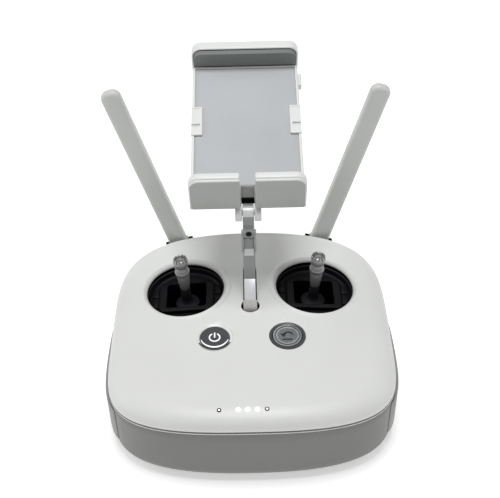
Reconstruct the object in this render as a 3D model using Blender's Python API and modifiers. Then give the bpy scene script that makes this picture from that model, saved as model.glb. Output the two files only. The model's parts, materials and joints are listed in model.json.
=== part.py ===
"""Twin-stick radio transmitter with a folding device holder and two antennas.

Built in metres, +Z up.  The underside rests on Z = 0, +X is the user's right
and +Y points away from the user.  Every moving piece hangs from an empty (or
has its own origin) on its joint's axis.
"""

import math

import bmesh
import bpy
from mathutils import Matrix, Vector

MM = 0.001
GAP = 0.3                       # clearance kept between neighbouring pieces

# Housing outline, all in millimetres
HALF_WIDTH = 90.0
OUTLINE_MID_Y = -20.0
NEAR_LENGTH = 76.0
FAR_LENGTH = 106.5
WIDTH_POWER = 2.4
NEAR_POWER = 5.0
FAR_POWER = 4.2
SEAM_Z = 46.0
SEAM_GAP = 0.6
CROWN_Z = 59.5
RIDGE_Y = 36.0
WALL = 2.2
TOP_ROUND = 13.0
BOTTOM_ROUND = 12.0
AROUND = 40                     # points round the housing

# Stick wells
WELL_X, WELL_Y, WELL_Z = 43.3, 18.5, 57.0
WELL_TILT = math.radians(4.0)
WELL_RADIUS = 29.0
STICK_PIVOT_DROP = 26.0
YOKE_RADIUS = 13.0

# Buttons on the top face
BUTTON_X, BUTTON_Y = 23.0, -29.0
BEZEL_RADIUS = 11.35

# Arm and device holder
ARM_PIVOT_Y, ARM_PIVOT_Z = 0.0, 50.0
SLOT_Y = -1.9
GROOVE_END_Y = 36.0
TILT_Y, TILT_Z = 22.0, 118.5
HOLDER_PITCH = math.radians(13.0)
PLATE_HALF = 35.3
PLATE_LENGTH = 108.5
PAD_TOP = 20.4

# Antennas
ANTENNA_X, ANTENNA_Y, ANTENNA_Z = 50.3, 86.0, 36.0
ANTENNA_SPLAY = math.radians(16.0)
ANTENNA_LENGTH = 138.8
ANTENNA_WIDTH = 13.5
ANTENNA_THICK = 7.0

WHITE = ("housing_white", (0.80, 0.80, 0.78), 0.45, 0.0)
GREY = ("grip_grey", (0.42, 0.43, 0.43), 0.60, 0.0)
PAD_GREY = ("pad_grey", (0.42, 0.44, 0.46), 0.75, 0.0)
JAW_GREY = ("jaw_grey", (0.20, 0.22, 0.21), 0.70, 0.0)
BLACK = ("well_black", (0.02, 0.018, 0.022), 0.45, 0.0)
SILVER = ("stick_silver", (0.72, 0.72, 0.71), 0.30, 1.0)
ARM_METAL = ("arm_metal", (0.60, 0.61, 0.60), 0.40, 0.6)
ANTENNA_GREY = ("antenna_grey", (0.60, 0.62, 0.60), 0.50, 0.0)
BUTTON_GREY = ("button_grey", (0.36, 0.37, 0.38), 0.45, 0.2)
STEEL = ("steel", (0.55, 0.55, 0.55), 0.30, 1.0)
SCREW_BLACK = ("screw_black", (0.02, 0.02, 0.02), 0.50, 0.3)
LIGHT = ("light_white", (0.90, 0.92, 0.90), 0.30, 0.0)
BOARD_GREEN = ("board_green", (0.04, 0.22, 0.10), 0.50, 0.0)
BATTERY = ("battery_wrap", (0.08, 0.09, 0.11), 0.55, 0.0)
SOCKET = ("socket_metal", (0.50, 0.50, 0.50), 0.35, 0.9)


# ---------------------------------------------------------------- scene tools
def clear_scene():
    for obj in list(bpy.data.objects):
        bpy.data.objects.remove(obj, do_unlink=True)


def make_collection(name):
    collection = bpy.data.collections.new(name)
    bpy.context.scene.collection.children.link(collection)
    return collection


clear_scene()
PARTS = make_collection("radio_transmitter")
CUTTERS = make_collection("cutters")


def material(finish):
    name, colour, roughness, metallic = finish
    found = bpy.data.materials.get(name)
    if found:
        return found
    made = bpy.data.materials.new(name)
    made.use_nodes = True
    shader = made.node_tree.nodes["Principled BSDF"]
    shader.inputs["Base Color"].default_value = (*colour, 1.0)
    shader.inputs["Roughness"].default_value = roughness
    shader.inputs["Metallic"].default_value = metallic
    return made


def empty(name, location, rotation=(0, 0, 0), parent=None):
    made = bpy.data.objects.new(name, None)
    made.empty_display_size = 0.01
    PARTS.objects.link(made)
    made.parent = parent
    made.location = [value * MM for value in location]
    made.rotation_euler = rotation
    return made


def add_object(name, mesh, finish=None, parent=None, location=(0, 0, 0), rotation=(0, 0, 0)):
    """Link a mesh as a part, or as a hidden cutter when it has no finish."""
    made = bpy.data.objects.new(name, mesh)
    made.parent = parent
    made.location = [value * MM for value in location]
    made.rotation_euler = rotation
    if finish is None:
        CUTTERS.objects.link(made)
        made.hide_render = True
        made.display_type = "WIRE"
    else:
        PARTS.objects.link(made)
        mesh.materials.append(material(finish))
        mesh.shade_smooth()
        mesh.set_sharp_from_angle(angle=math.radians(35))
    return made


def bevel(obj, width, segments=2, angle=30.0):
    made = obj.modifiers.new("edge_round", "BEVEL")
    made.width = width * MM
    made.segments = segments
    made.limit_method = "ANGLE"
    made.angle_limit = math.radians(angle)
    return obj


def boolean(obj, tool, operation="DIFFERENCE", solver="EXACT"):
    made = obj.modifiers.new(operation.lower(), "BOOLEAN")
    made.operation = operation
    made.object = tool
    made.solver = solver
    return obj


def finish_mesh(bm, name):
    mesh = bpy.data.meshes.new(name)
    bmesh.ops.recalc_face_normals(bm, faces=bm.faces)
    if bm.calc_volume(signed=True) < 0:
        bmesh.ops.reverse_faces(bm, faces=bm.faces)
    bm.to_mesh(mesh)
    bm.free()
    return mesh


# ------------------------------------------------------------- basic shapes
def box_mesh(name, low, high):
    bm = bmesh.new()
    bmesh.ops.create_cube(bm, size=1.0)
    size = [(b - a) * MM for a, b in zip(low, high)]
    centre = [(a + b) / 2 * MM for a, b in zip(low, high)]
    bmesh.ops.scale(bm, vec=size, verts=bm.verts)
    bmesh.ops.translate(bm, vec=centre, verts=bm.verts)
    return finish_mesh(bm, name)


def box(name, low, high, finish=None, parent=None, edge=0.0, segments=2):
    obj = add_object(name, box_mesh(name, low, high), finish, parent)
    return bevel(obj, edge, segments) if edge else obj


AXIS_TURN = {
    "X": Matrix.Rotation(math.radians(90), 4, "Y"),
    "Y": Matrix.Rotation(math.radians(-90), 4, "X"),
    "Z": Matrix.Identity(4),
}


def cylinder_mesh(name, radius, start, end, axis="Z", segments=24, centre=(0, 0, 0), top_radius=None):
    bm = bmesh.new()
    top = radius if top_radius is None else top_radius
    bmesh.ops.create_cone(bm, cap_ends=True, segments=segments, radius1=radius * MM,
                          radius2=top * MM, depth=(end - start) * MM)
    bmesh.ops.translate(bm, vec=(0, 0, (start + end) / 2 * MM), verts=bm.verts)
    bmesh.ops.transform(bm, matrix=AXIS_TURN[axis], verts=bm.verts)
    bmesh.ops.translate(bm, vec=[value * MM for value in centre], verts=bm.verts)
    return finish_mesh(bm, name)


def cylinder(name, radius, start, end, axis="Z", finish=None, parent=None, segments=24,
             centre=(0, 0, 0), top_radius=None):
    mesh = cylinder_mesh(name, radius, start, end, axis, segments, centre, top_radius)
    return add_object(name, mesh, finish, parent)


def turned(name, profile, finish=None, parent=None, steps=32, location=(0, 0, 0)):
    """Turn a (radius, height) profile, listed down its outer side, about Z."""
    mesh = bpy.data.meshes.new(name)
    points = [(radius * MM, 0.0, height * MM) for radius, height in profile]
    closed = profile[0][0] > 0.0
    count = len(points)
    edges = [(i, (i + 1) % count) for i in range(count if closed else count - 1)]
    mesh.from_pydata(points, edges, [])
    obj = add_object(name, mesh, finish, parent, location)
    screw = obj.modifiers.new("turn", "SCREW")
    screw.axis = "Z"
    screw.steps = steps
    screw.render_steps = steps
    screw.use_merge_vertices = True
    screw.merge_threshold = 0.00001
    screw.use_smooth_shade = True
    return obj


def arc(centre_a, centre_b, radius, start, end, count):
    """Points of an arc, angles in degrees, from the first axis to the second."""
    return [(centre_a + radius * math.cos(math.radians(start + (end - start) * i / count)),
             centre_b + radius * math.sin(math.radians(start + (end - start) * i / count)))
            for i in range(count + 1)]


def flat_mesh(name, points, low, high, axis):
    """A flat outline extruded from low to high along X, Y or Z.

    The outline is given in (Y, Z) for axis X, (X, Z) for axis Y, (X, Y) for Z.
    """
    curve = bpy.data.curves.new(name, "CURVE")
    curve.dimensions = "2D"
    curve.fill_mode = "BOTH"
    curve.extrude = (high - low) / 2 * MM
    spline = curve.splines.new("POLY")
    spline.points.add(len(points) - 1)
    for point, (a, b) in zip(spline.points, points):
        point.co = (a * MM, b * MM, 0.0, 1.0)
    spline.use_cyclic_u = True
    holder = bpy.data.objects.new(name + "_outline", curve)
    CUTTERS.objects.link(holder)
    bpy.context.view_layer.update()
    graph = bpy.context.evaluated_depsgraph_get()
    mesh = bpy.data.meshes.new_from_object(holder.evaluated_get(graph))
    bpy.data.objects.remove(holder, do_unlink=True)
    bpy.data.curves.remove(curve)
    middle = (low + high) / 2 * MM
    bm = bmesh.new()
    bm.from_mesh(mesh)
    bmesh.ops.remove_doubles(bm, verts=bm.verts, dist=0.000005)
    bmesh.ops.dissolve_limit(bm, angle_limit=math.radians(0.5), verts=bm.verts, edges=bm.edges)
    bmesh.ops.translate(bm, vec=(0, 0, middle), verts=bm.verts)
    for vert in bm.verts:
        a, b, c = vert.co
        vert.co = {"X": (c, a, b), "Y": (a, c, b), "Z": (a, b, c)}[axis]
    bpy.data.meshes.remove(mesh)
    return finish_mesh(bm, name)


def flat(name, points, low, high, axis, finish=None, parent=None, edge=0.0, segments=2):
    obj = add_object(name, flat_mesh(name, points, low, high, axis), finish, parent)
    return bevel(obj, edge, segments) if edge else obj


# --------------------------------------------------------------- housing form
def outline_point(turn, inset=0.0):
    """A point on the housing's plan outline at an angle, set in by inset."""
    across, along = math.cos(turn), math.sin(turn)
    length, power = (FAR_LENGTH, FAR_POWER) if along > 0 else (NEAR_LENGTH, NEAR_POWER)
    x = math.copysign(abs(across) ** (2 / WIDTH_POWER), across) * (HALF_WIDTH - inset)
    y = math.copysign(abs(along) ** (2 / power), along) * (length - inset)
    return x, OUTLINE_MID_Y + y


def outline_turns():
    return [2 * math.pi * (i + 0.5) / AROUND for i in range(AROUND)]


def top_height(x, y):
    """Height of the top face: a shallow dome that falls away behind a ridge."""
    dome = 3.5 * (x / 72) ** 2 + 2.0 * ((y - OUTLINE_MID_Y) / 80) ** 2
    behind = max(0.0, y - RIDGE_Y)
    return CROWN_Z - dome - 0.16 * behind


def wall_point(x, side):
    """The far wall's point and outward normal at a given X, for either side."""
    share = (abs(x) / HALF_WIDTH) ** WIDTH_POWER
    y = OUTLINE_MID_Y + FAR_LENGTH * (1 - share) ** (1 / FAR_POWER)
    normal = Vector((WIDTH_POWER / HALF_WIDTH * (abs(x) / HALF_WIDTH) ** (WIDTH_POWER - 1),
                     FAR_POWER / FAR_LENGTH * ((y - OUTLINE_MID_Y) / FAR_LENGTH) ** (FAR_POWER - 1), 0))
    normal.normalize()
    normal.x *= side
    return Vector((abs(x) * side, y, 0)), normal


def skin_mesh(name, rings, centre):
    """Faces between rings of points, closed by a fan to a centre point or a flat face."""
    bm = bmesh.new()
    loops = [[bm.verts.new([value * MM for value in point]) for point in ring] for ring in rings]
    for lower, upper in zip(loops, loops[1:]):
        for i in range(AROUND):
            j = (i + 1) % AROUND
            bm.faces.new((lower[i], lower[j], upper[j], upper[i]))
    last = loops[-1]
    if centre is None:
        bm.faces.new(last)
    else:
        middle = bm.verts.new([value * MM for value in centre])
        for i in range(AROUND):
            bm.faces.new((last[i], last[(i + 1) % AROUND], middle))
    return bm


def shell(name, bm, outward_up):
    mesh = bpy.data.meshes.new(name)
    bmesh.ops.recalc_face_normals(bm, faces=bm.faces)
    reference = max(bm.faces, key=lambda face: abs(face.normal.z))
    if (reference.normal.z > 0) != outward_up:
        bmesh.ops.reverse_faces(bm, faces=bm.faces)
    bm.to_mesh(mesh)
    bm.free()
    obj = add_object(name, mesh, WHITE)
    solid = obj.modifiers.new("wall", "SOLIDIFY")
    solid.thickness = WALL * MM
    solid.offset = -1.0
    solid.use_even_offset = True
    return obj


def top_shell():
    rings = [[(*outline_point(turn), SEAM_Z) for turn in outline_turns()]]
    rim_z = SEAM_Z + 2.0
    steps = 4
    for k in range(steps + 1):
        angle = math.radians(90 * k / steps)
        ring = []
        for turn in outline_turns():
            x, y = outline_point(turn, TOP_ROUND * (1 - math.cos(angle)))
            ring.append((x, y, rim_z + (top_height(x, y) - rim_z) * math.sin(angle)))
        rings.append(ring)
    for share in (0.66, 0.3):
        ring = []
        for turn in outline_turns():
            x, y = outline_point(turn, TOP_ROUND)
            x, y = x * share, OUTLINE_MID_Y + (y - OUTLINE_MID_Y) * share
            ring.append((x, y, top_height(x, y)))
        rings.append(ring)
    centre = (0, OUTLINE_MID_Y, top_height(0, OUTLINE_MID_Y))
    return shell("top_shell", skin_mesh("top_shell", rings, centre), True)


def lower_shell():
    rings = [[(*outline_point(turn), SEAM_Z - SEAM_GAP) for turn in outline_turns()]]
    steps = 3
    for k in range(steps + 1):
        angle = math.radians(90 * k / steps)
        inset = BOTTOM_ROUND * (1 - math.cos(angle))
        height = BOTTOM_ROUND * (1 - math.sin(angle))
        rings.append([(*outline_point(turn, inset), height) for turn in outline_turns()])
    return shell("lower_shell", skin_mesh("lower_shell", rings, None), False)


def grip(name, side):
    """A rubber band that follows the side wall, standing 2 mm proud of it."""
    low_y, high_y, count = -76.0, 2.0, 14
    outer, inner = [], []
    for i in range(count + 1):
        y = low_y + (high_y - low_y) * i / count
        length, power = (FAR_LENGTH, FAR_POWER) if y > OUTLINE_MID_Y else (NEAR_LENGTH, NEAR_POWER)
        share = 1 - (abs(y - OUTLINE_MID_Y) / length) ** power
        wall = HALF_WIDTH * share ** (1 / WIDTH_POWER)
        proud = 2.2 * math.sin(math.pi * i / count) ** 0.5
        outer.append((side * (wall + GAP + 0.35 + proud), y))
        inner.append((side * (wall + GAP), y))
    points = outer + inner[::-1]
    if side < 0:
        points = points[::-1]
    return flat(name, points, 13.0, 41.0, "Z", GREY)


# --------------------------------------------------------------------- pieces
def side_name(side):
    return "left" if side < 0 else "right"


def build_housing():
    top, lower = top_shell(), lower_shell()
    for side in (-1, 1):
        grip(side_name(side) + "_grip", side)
    build_internals()
    build_case_screws(lower)
    build_rear_buttons(lower)
    return top, lower


def build_internals():
    box("battery_pack", (-34, -84, 10), (34, -18, 38), BATTERY, edge=4)
    board = box("main_board", (-62, -12, 8), (62, 62, 9.6), BOARD_GREEN)
    for x in (-55, 55):
        boolean(board, cylinder("board_hole", 1.7, 5, 12, "Z", centre=(x, 55, 0), segments=12))


def build_case_screws(lower):
    for side in (-1, 1):
        for end, y in (("near", -62.0), ("far", 48.0)):
            x = side * 66.0
            boolean(lower, cylinder("screw_hole", 3.2, -2, 5, centre=(x, y, 0), segments=20))
            profile = [(0, 8.0), (1.3, 8.0), (1.3, 2.4), (2.8, 2.4), (2.8, 0.6), (0, 0.6)]
            turned(f"case_screw_{side_name(side)}_{end}", profile, STEEL, steps=18, location=(x, y, 0))


def build_rear_buttons(lower):
    for side, name in ((-1, "rear_button_left"), (1, "rear_button_right")):
        x, y = side * 40.0, 30.0
        boolean(lower, cylinder("rear_hole", 5.4, -2, 5, centre=(x, y, 0), segments=24))
        profile = [(0, 5.5), (6.6, 5.5), (6.6, 3.4), (5.1, 3.4), (5.1, 0.5), (4.7, 0.3), (0, 0.3)]
        turned(name, profile, GREY, steps=24, location=(x, y, 0))


def build_wells(top):
    for side in (-1, 1):
        name = side_name(side)
        frame = empty(name + "_well_frame", (side * WELL_X, WELL_Y, WELL_Z), (0, side * WELL_TILT, 0))
        boolean(top, cylinder("well_hole", WELL_RADIUS, -20, 20, parent=frame, segments=32))
        rim = [(28.4, 1.9), (29.6, 1.2), (29.8, -7.0), (27.3, -7.0), (27.4, 1.2)]
        boolean(top, turned("well_rim", rim, None, frame, steps=32), "UNION")
        cup = [(26.9, -1.5), (26.9, -6.0), (25.5, -10.5), (0.0, -10.5)]
        build_cup(name, cup, frame)
        build_gimbal(name, side)


def build_cup(name, outer, frame):
    thick = 1.5
    profile = [(0.0, outer[-1][1] + thick)]
    inner = [(outer[2][0] - thick, outer[2][1] + thick), (outer[1][0] - thick, outer[1][1]),
             (outer[0][0] - thick, outer[0][1])]
    profile = profile + inner + outer
    cup = turned(name + "_gimbal_cup", profile, BLACK, frame, steps=24)
    boolean(cup, box("cup_plate", (-18.3, -14.5, -9.8), (18.3, 12, -6.5), parent=frame), "UNION")
    boolean(cup, box("cup_window", (-13.3, -10.8, -20), (13.3, 10.8, -4), parent=frame))


def build_gimbal(name, side):
    pivot = Vector((side * WELL_X, WELL_Y, WELL_Z)) + Matrix.Rotation(side * WELL_TILT, 3, "Y") @ \
        Vector((0, 0, -STICK_PIVOT_DROP))
    frame = empty(name + "_stick_pivot", pivot, (0, side * WELL_TILT, 0))
    carrier = box(name + "_gimbal_frame", (-20, -20, -8), (20, 20, 15.2), BLACK, frame)
    boolean(carrier, box("frame_window", (-15, -15, -12), (15, 15, 20), parent=frame))
    boolean(carrier, cylinder("trunnion_hole", 2.5, -25, 25, "X", parent=frame, segments=20))

    yoke = add_object(name + "_gimbal_yoke", ball_mesh(name + "_yoke", YOKE_RADIUS), BLACK, frame)
    boolean(yoke, box("yoke_side_a", (-20, -20, -20), (-12.0, 20, 20), parent=frame))
    boolean(yoke, box("yoke_side_b", (12.0, -20, -20), (20, 20, 20), parent=frame))
    boolean(yoke, cylinder("trunnion", 2.2, -17.5, 17.5, "X", parent=frame, segments=20), "UNION")
    boolean(yoke, box("yoke_slot", (-10.5, -3.3, -20), (10.5, 3.3, 20), parent=frame))
    boolean(yoke, cylinder("yoke_bore", 1.9, -20, 20, "Y", parent=frame, segments=12))

    shaft = cylinder(name + "_stick_shaft", 2.4, -7, 30.9, "Z", STEEL, frame, segments=16)
    boolean(shaft, cylinder("stick_axle", 1.6, -11.5, 11.5, "Y", parent=frame, segments=12), "UNION")
    build_boot(name, frame)
    build_stick_cap(name, frame)


def ball_mesh(name, radius):
    bm = bmesh.new()
    bmesh.ops.create_uvsphere(bm, u_segments=16, v_segments=10, radius=radius * MM)
    return finish_mesh(bm, name)


def build_boot(name, frame):
    """A domed skirt over the yoke's slot, with a neck round the shaft."""
    inner, outer, spread = 13.5, 14.7, 33
    skirt_out = [(outer * math.sin(math.radians(a)), outer * math.cos(math.radians(a)))
                 for a in (20, spread)]
    skirt_in = [(inner * math.sin(math.radians(a)), inner * math.cos(math.radians(a)))
                for a in (spread, 15)]
    profile = [(3.0, 25.8), (3.3, 24.5), (3.3, 15.2)] + skirt_out + skirt_in + [(2.7, 13.2), (2.7, 25.8)]
    turned(name + "_stick_boot", profile, BLACK, frame, steps=18)


def build_stick_cap(name, frame):
    """The gripped end: tapered foot, two collars, waist and toothed crown."""
    foot = STICK_PIVOT_DROP + 0.3
    profile = [(0.0, foot + 24.6), (2.6, foot + 24.6), (3.0, foot + 26.2), (4.3, foot + 26.2),
               (4.7, foot + 25.4), (4.8, foot + 23.6), (4.3, foot + 22.9), (4.3, foot + 16.2),
               (4.7, foot + 15.6), (4.7, foot + 13.9), (4.4, foot + 13.2), (3.2, foot),
               (2.7, foot), (2.7, foot + 5.0), (0.0, foot + 5.0)]
    cap = turned(name + "_stick_cap", profile, SILVER, frame, steps=18)
    notch = box("crown_notch", (-6, -0.45, foot + 23.4), (6, 0.45, foot + 28), parent=frame)
    for turn in (30, 90, 150):
        cutter = notch if turn == 30 else notch.copy()
        if turn != 30:
            CUTTERS.objects.link(cutter)
        cutter.rotation_euler = (0, 0, math.radians(turn))
        boolean(cap, cutter)


def build_top_buttons(top):
    for side, name in ((-1, "power"), (1, "return")):
        x = side * BUTTON_X
        height = top_height(x, BUTTON_Y)
        place = (x, BUTTON_Y, height)
        boolean(top, cylinder("button_hole", BEZEL_RADIUS + GAP, -9, 9, centre=place, segments=28))
        bezel = [(11.0, 0.5), (BEZEL_RADIUS, 0.3), (BEZEL_RADIUS, -4.0), (9.65, -4.0), (9.65, 0.1),
                 (10.0, 0.5)]
        turned(name + "_bezel", bezel, GREY, steps=28, location=place)
        cap = [(0, 0.2), (8.2, 0.45), (9.0, 0.3), (9.35, -0.2), (9.35, -4.5), (0, -4.5)]
        turned(name + "_button", cap, BUTTON_GREY, steps=28, location=place)


def build_lights(top):
    """One light pipe with four lenses, and a single status lens beside it."""
    y = -86.0
    level = top_height(0, -83) - 0.6
    pipe = box("battery_light_pipe", (-11, y - 2.5, level - 6.5), (11, y + 2.5, level - 4.2), LIGHT)
    for i in range(4):
        x = -8.55 + 5.7 * i
        boolean(top, cylinder("light_hole", 1.35, -8, 8, centre=(x, y, level), segments=12))
        boolean(pipe, cylinder("pipe_lens", 1.0, -5, 0.1, centre=(x, y, level), segments=12), "UNION")
    boolean(top, cylinder("status_hole", 1.35, -8, 8, centre=(-19.8, y, level), segments=16))
    lens = [(0, 0.1), (1.0, 0.1), (1.0, -4.2), (2.2, -4.2), (2.2, -6.5), (0, -6.5)]
    turned("status_lens", lens, LIGHT, steps=16, location=(-19.8, y, level))


# ------------------------------------------------------------ arm and holder
def keyhole(radius, half, far):
    """Plan of the arm's pocket: a round near end that narrows to a groove."""
    meet = math.degrees(math.asin(half / radius))
    return [(half, far), (-half, far)] + arc(0, SLOT_Y, radius, 90 + meet, 450 - meet, 14)


def build_cradle(top):
    slot = flat("arm_slot", keyhole(6.1, 4.5, GROOVE_END_Y), 30, 70, "Z")
    boolean(top, slot)
    cradle = flat("arm_cradle", keyhole(9.0, 7.6, GROOVE_END_Y + 3), 40.0, 55.0, "Z", BLACK)
    boolean(cradle, flat("cradle_pocket", keyhole(6.6, 5.0, GROOVE_END_Y + GAP), 42.2, 60, "Z"))
    boolean(cradle, cylinder("pin_hole", 2.1, -12, 12, "X", centre=(0, ARM_PIVOT_Y, ARM_PIVOT_Z),
                             segments=20))
    trim_under_top(cradle)
    cylinder("arm_pin", 1.9, -7.2, 7.2, "X", STEEL, centre=(0, ARM_PIVOT_Y, ARM_PIVOT_Z), segments=20)


def trim_under_top(obj):
    """Cut the piece's top to a flat that stays under the top face."""
    boolean(obj, box("cradle_trim", (-15, -20, 54.0), (15, 50, 80)))


def build_arm():
    pivot = empty("arm_pivot", (0, ARM_PIVOT_Y, ARM_PIVOT_Z))
    base = empty("arm_frame", (0, -ARM_PIVOT_Y, -ARM_PIVOT_Z), parent=pivot)
    foot = arc(ARM_PIVOT_Y, ARM_PIVOT_Z, 5.4, 200, 340, 8)
    lower = foot + [(5.6, 56), (9.5, 66.5), (16.5, 77), (19.6, 90), (20.4, 91.2),
                    (11.9, 91.2), (11.5, 88.5), (8.4, 76), (7.4, 74.6), (-3.4, 66), (-5.6, 58)]
    arm = flat("lower_arm", lower, -3.8, 3.8, "X", ARM_METAL, base, edge=0.9)
    tang = [(13.3, 90.5), (19.8, 90.5), (21.8, 102.5), (15.6, 102.5)]
    boolean(arm, flat("arm_tang", tang, -3.1, 3.1, "X", parent=base), "UNION")
    boolean(arm, cylinder("arm_bore", 2.1, -10, 10, "X", centre=(0, ARM_PIVOT_Y, ARM_PIVOT_Z),
                          parent=base, segments=20))

    neck = [(14.9, 103.2), (22.6, 103.2), (26.0, 111.0), (27.2, 117.0)] + \
        arc(TILT_Y, TILT_Z, 5.3, 0, 180, 12) + [(16.9, 116.5), (17.2, 112.6), (15.2, 109.6)]
    upper = flat("upper_arm", neck, -3.6, 3.6, "X", ARM_METAL, base)
    for low, high in ((3.4, 4.7), (-4.7, -3.4)):
        cheek = [(12.9, 93.2), (19.8, 93.2), (22.0, 95.0), (23.4, 101.5), (22.2, 104.6),
                 (17.2, 108.2), (14.8, 106.5), (12.2, 95.0)]
        boolean(upper, flat("arm_cheek", cheek, low, high, "X", parent=base), "UNION")
    boolean(upper, cylinder("tilt_bore", 2.1, -10, 10, "X", centre=(0, TILT_Y, TILT_Z),
                            parent=base, segments=20))
    boolean(upper, cylinder("screw_recess", 2.1, -8, 4.2, "Y", centre=(0, 14.9, 106.4),
                            parent=base, segments=20))
    head = cylinder("arm_screw", 1.75, 0.5, 3.9, "Y", SCREW_BLACK, centre=(0, 14.9, 106.4),
                    parent=base, segments=20)
    boolean(head, cylinder("screw_socket", 0.8, -1, 1.9, "Y", centre=(0, 14.9, 106.4),
                           parent=base, segments=6))
    return base


def build_holder(base):
    """The clamp, in its own frame: Y along the plate, Z square to it."""
    clamp = empty("tilt_pivot", (0, TILT_Y, TILT_Z), (HOLDER_PITCH, 0, 0), parent=base)
    cylinder("tilt_pin", 1.9, -8.2, 8.2, "X", STEEL, clamp, segments=20)
    build_clamp_base(clamp)
    for side in (-1, 1):
        build_wing(side, clamp)
        build_side_tab(side, clamp)
    pad = box("clamp_pad", (-33.2, 5.8, 19.9), (33.2, 106.2, PAD_TOP), PAD_GREY, clamp)
    for side in (-1, 1):
        low, high = sorted((side * 28.0, side * 40))
        boolean(pad, box("pad_notch", (low, 46.3, 15), (high, 71.0, 25), parent=clamp))
    build_top_jaw(clamp)
    button = box("release_button", (33.9, 92, 13.6), (37.6, 102.5, 18.6), GREY, clamp)
    for i in range(4):
        y = 93.5 + 2.2 * i
        boolean(button, box("button_rib", (37.0, y, 12), (39, y + 0.9, 20), parent=clamp))


def build_clamp_base(clamp):
    base = box("clamp_base", (-PLATE_HALF, 5.5, 12.0), (PLATE_HALF, PLATE_LENGTH, 21.4), WHITE, clamp,
               edge=1.2)
    boolean(base, box("pad_bed", (-33.5, 0, 19.6), (33.5, 106.5, 30), parent=clamp))
    boolean(base, box("jaw_channel", (-28.2, 38, 13.8), (28.2, 120, 17.8), parent=clamp))
    boolean(base, box("button_pocket", (32.0, 91.7, 13.3), (40, 102.8, 18.9), parent=clamp))
    for side in (-1, 1):
        low, high = sorted((side * 28.0, side * 40))
        boolean(base, box("tab_seat", (low, 46.3, 20.2), (high, 71.0, 30), parent=clamp))
        low, high = sorted((side * 4.0, side * 8.3))
        lug = arc(0, 0, 5.5, 180, 360, 12) + [(8.5, 7.0), (12.0, 13.0), (5.6, 13.0), (5.6, 5.5),
                                              (-1.0, 5.4), (-4.2, 3.6)]
        boolean(base, flat("clamp_lug", lug, low, high, "X", parent=clamp), "UNION")
    boolean(base, box("clamp_tongue", (-4.1, 4.6, 9.2), (4.1, 14.0, 19.6), parent=clamp), "UNION")
    boolean(base, box("tongue_root", (-4.1, 7.2, 5.6), (4.1, 14.0, 9.6), parent=clamp), "UNION")
    boolean(base, cylinder("lug_bore", 2.1, -12, 12, "X", parent=clamp, segments=20))


def build_wing(side, clamp):
    """Half of the fixed lower jaw: a thick wall with a rounded outer corner."""
    inner, outer, corner, low, high = 4.7, 36.4, 7.0, 5.9, 34.0
    wall = [(inner, low), (outer - 1.2, low), (outer, low + 1.2)] + \
        arc(outer - corner, high - corner, corner, 0, 90, 7) + [(inner, high)]
    wall = [(side * x, z) for x, z in wall]
    flat(side_name(side) + "_wing", wall, -1.6, 5.2, "Y", WHITE, clamp, edge=1.0)


def build_side_tab(side, clamp):
    low, high = sorted((side * 28.3, side * 35.5))
    tab = box(side_name(side) + "_side_tab", (low, 46.6, 20.5), (high, 70.7, 22.0), WHITE, clamp,
              edge=0.5)
    low, high = sorted((side * 29.8, side * 40))
    boolean(tab, box("tab_groove", (low, 54.6, 21.3), (high, 55.8, 26), parent=clamp))


def build_top_jaw(clamp):
    corner = 6.5
    half, top, bottom = 36.0, 34.0, 12.2
    face = [(-half, bottom), (half, bottom)] + \
        arc(half - corner, top - corner, corner, 0, 90, 6) + \
        arc(-half + corner, top - corner, corner, 90, 180, 6)
    jaw = flat("top_jaw", face, 111.6, 118.8, "Y", WHITE, clamp, edge=1.6, segments=3)
    boolean(jaw, box("jaw_tongue", (-27.8, 44, 14.2), (27.8, 113.0, 17.4), parent=clamp), "UNION")
    pad = [(-34.2, 22.0), (34.2, 22.0)] + arc(34.2 - 5, 33.0 - 5, 5, 0, 90, 4) + \
        arc(-34.2 + 5, 33.0 - 5, 5, 90, 180, 4)
    flat("jaw_pad", pad, 107.4, 111.4, "Y", JAW_GREY, clamp)


# ------------------------------------------------------------------- antennas
def build_antennas(lower):
    for side in (-1, 1):
        name = side_name(side) + "_antenna"
        place = (side * ANTENNA_X, ANTENNA_Y, ANTENNA_Z)
        frame = empty(name + "_pivot", place, (0, side * ANTENNA_SPLAY, 0))
        half, tip = ANTENNA_WIDTH / 2, ANTENNA_LENGTH
        blade = [(half, 0), (half, tip - 5)] + arc(half - 5, tip - 5, 5, 0, 90, 5) + \
            arc(-half + 5, tip - 5, 5, 90, 180, 5) + [(-half, 0)]
        paddle = flat(name, blade, -ANTENNA_THICK / 2, ANTENNA_THICK / 2, "Y", ANTENNA_GREY, frame,
                      edge=2.2, segments=3)
        boolean(paddle, cylinder("antenna_root", 5.6, -half, half, "X", parent=frame, segments=20),
                "UNION")
        boolean(paddle, cylinder("antenna_bore", 1.8, -20, 20, "X", parent=frame, segments=16))
        cylinder(name + "_pin", 1.6, -9.8, 9.8, "X", STEEL, frame, segments=16)
        bracket = box(name + "_bracket", (-10.2, -14.0, -7.0), (10.2, 2.8, 3.2), BLACK, frame)
        boolean(bracket, box("bracket_slot", (-half - 0.4, -6.2, -9), (half + 0.4, 9, 9), parent=frame))
        boolean(bracket, cylinder("bracket_bore", 1.8, -20, 20, "X", parent=frame, segments=16))
        boolean(lower, box("bracket_room", (-10.6, -14.4, -7.4), (10.6, 21, 3.6), parent=frame))


# -------------------------------------------------------------- wall controls
def wall_frame(name, x, side, z):
    """An empty on the far wall whose +Y axis points out of the wall."""
    point, normal = wall_point(x, side)
    turn = math.atan2(-normal.x, normal.y)
    return empty(name + "_axis", (point.x, point.y, z), (0, 0, turn))


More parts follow.
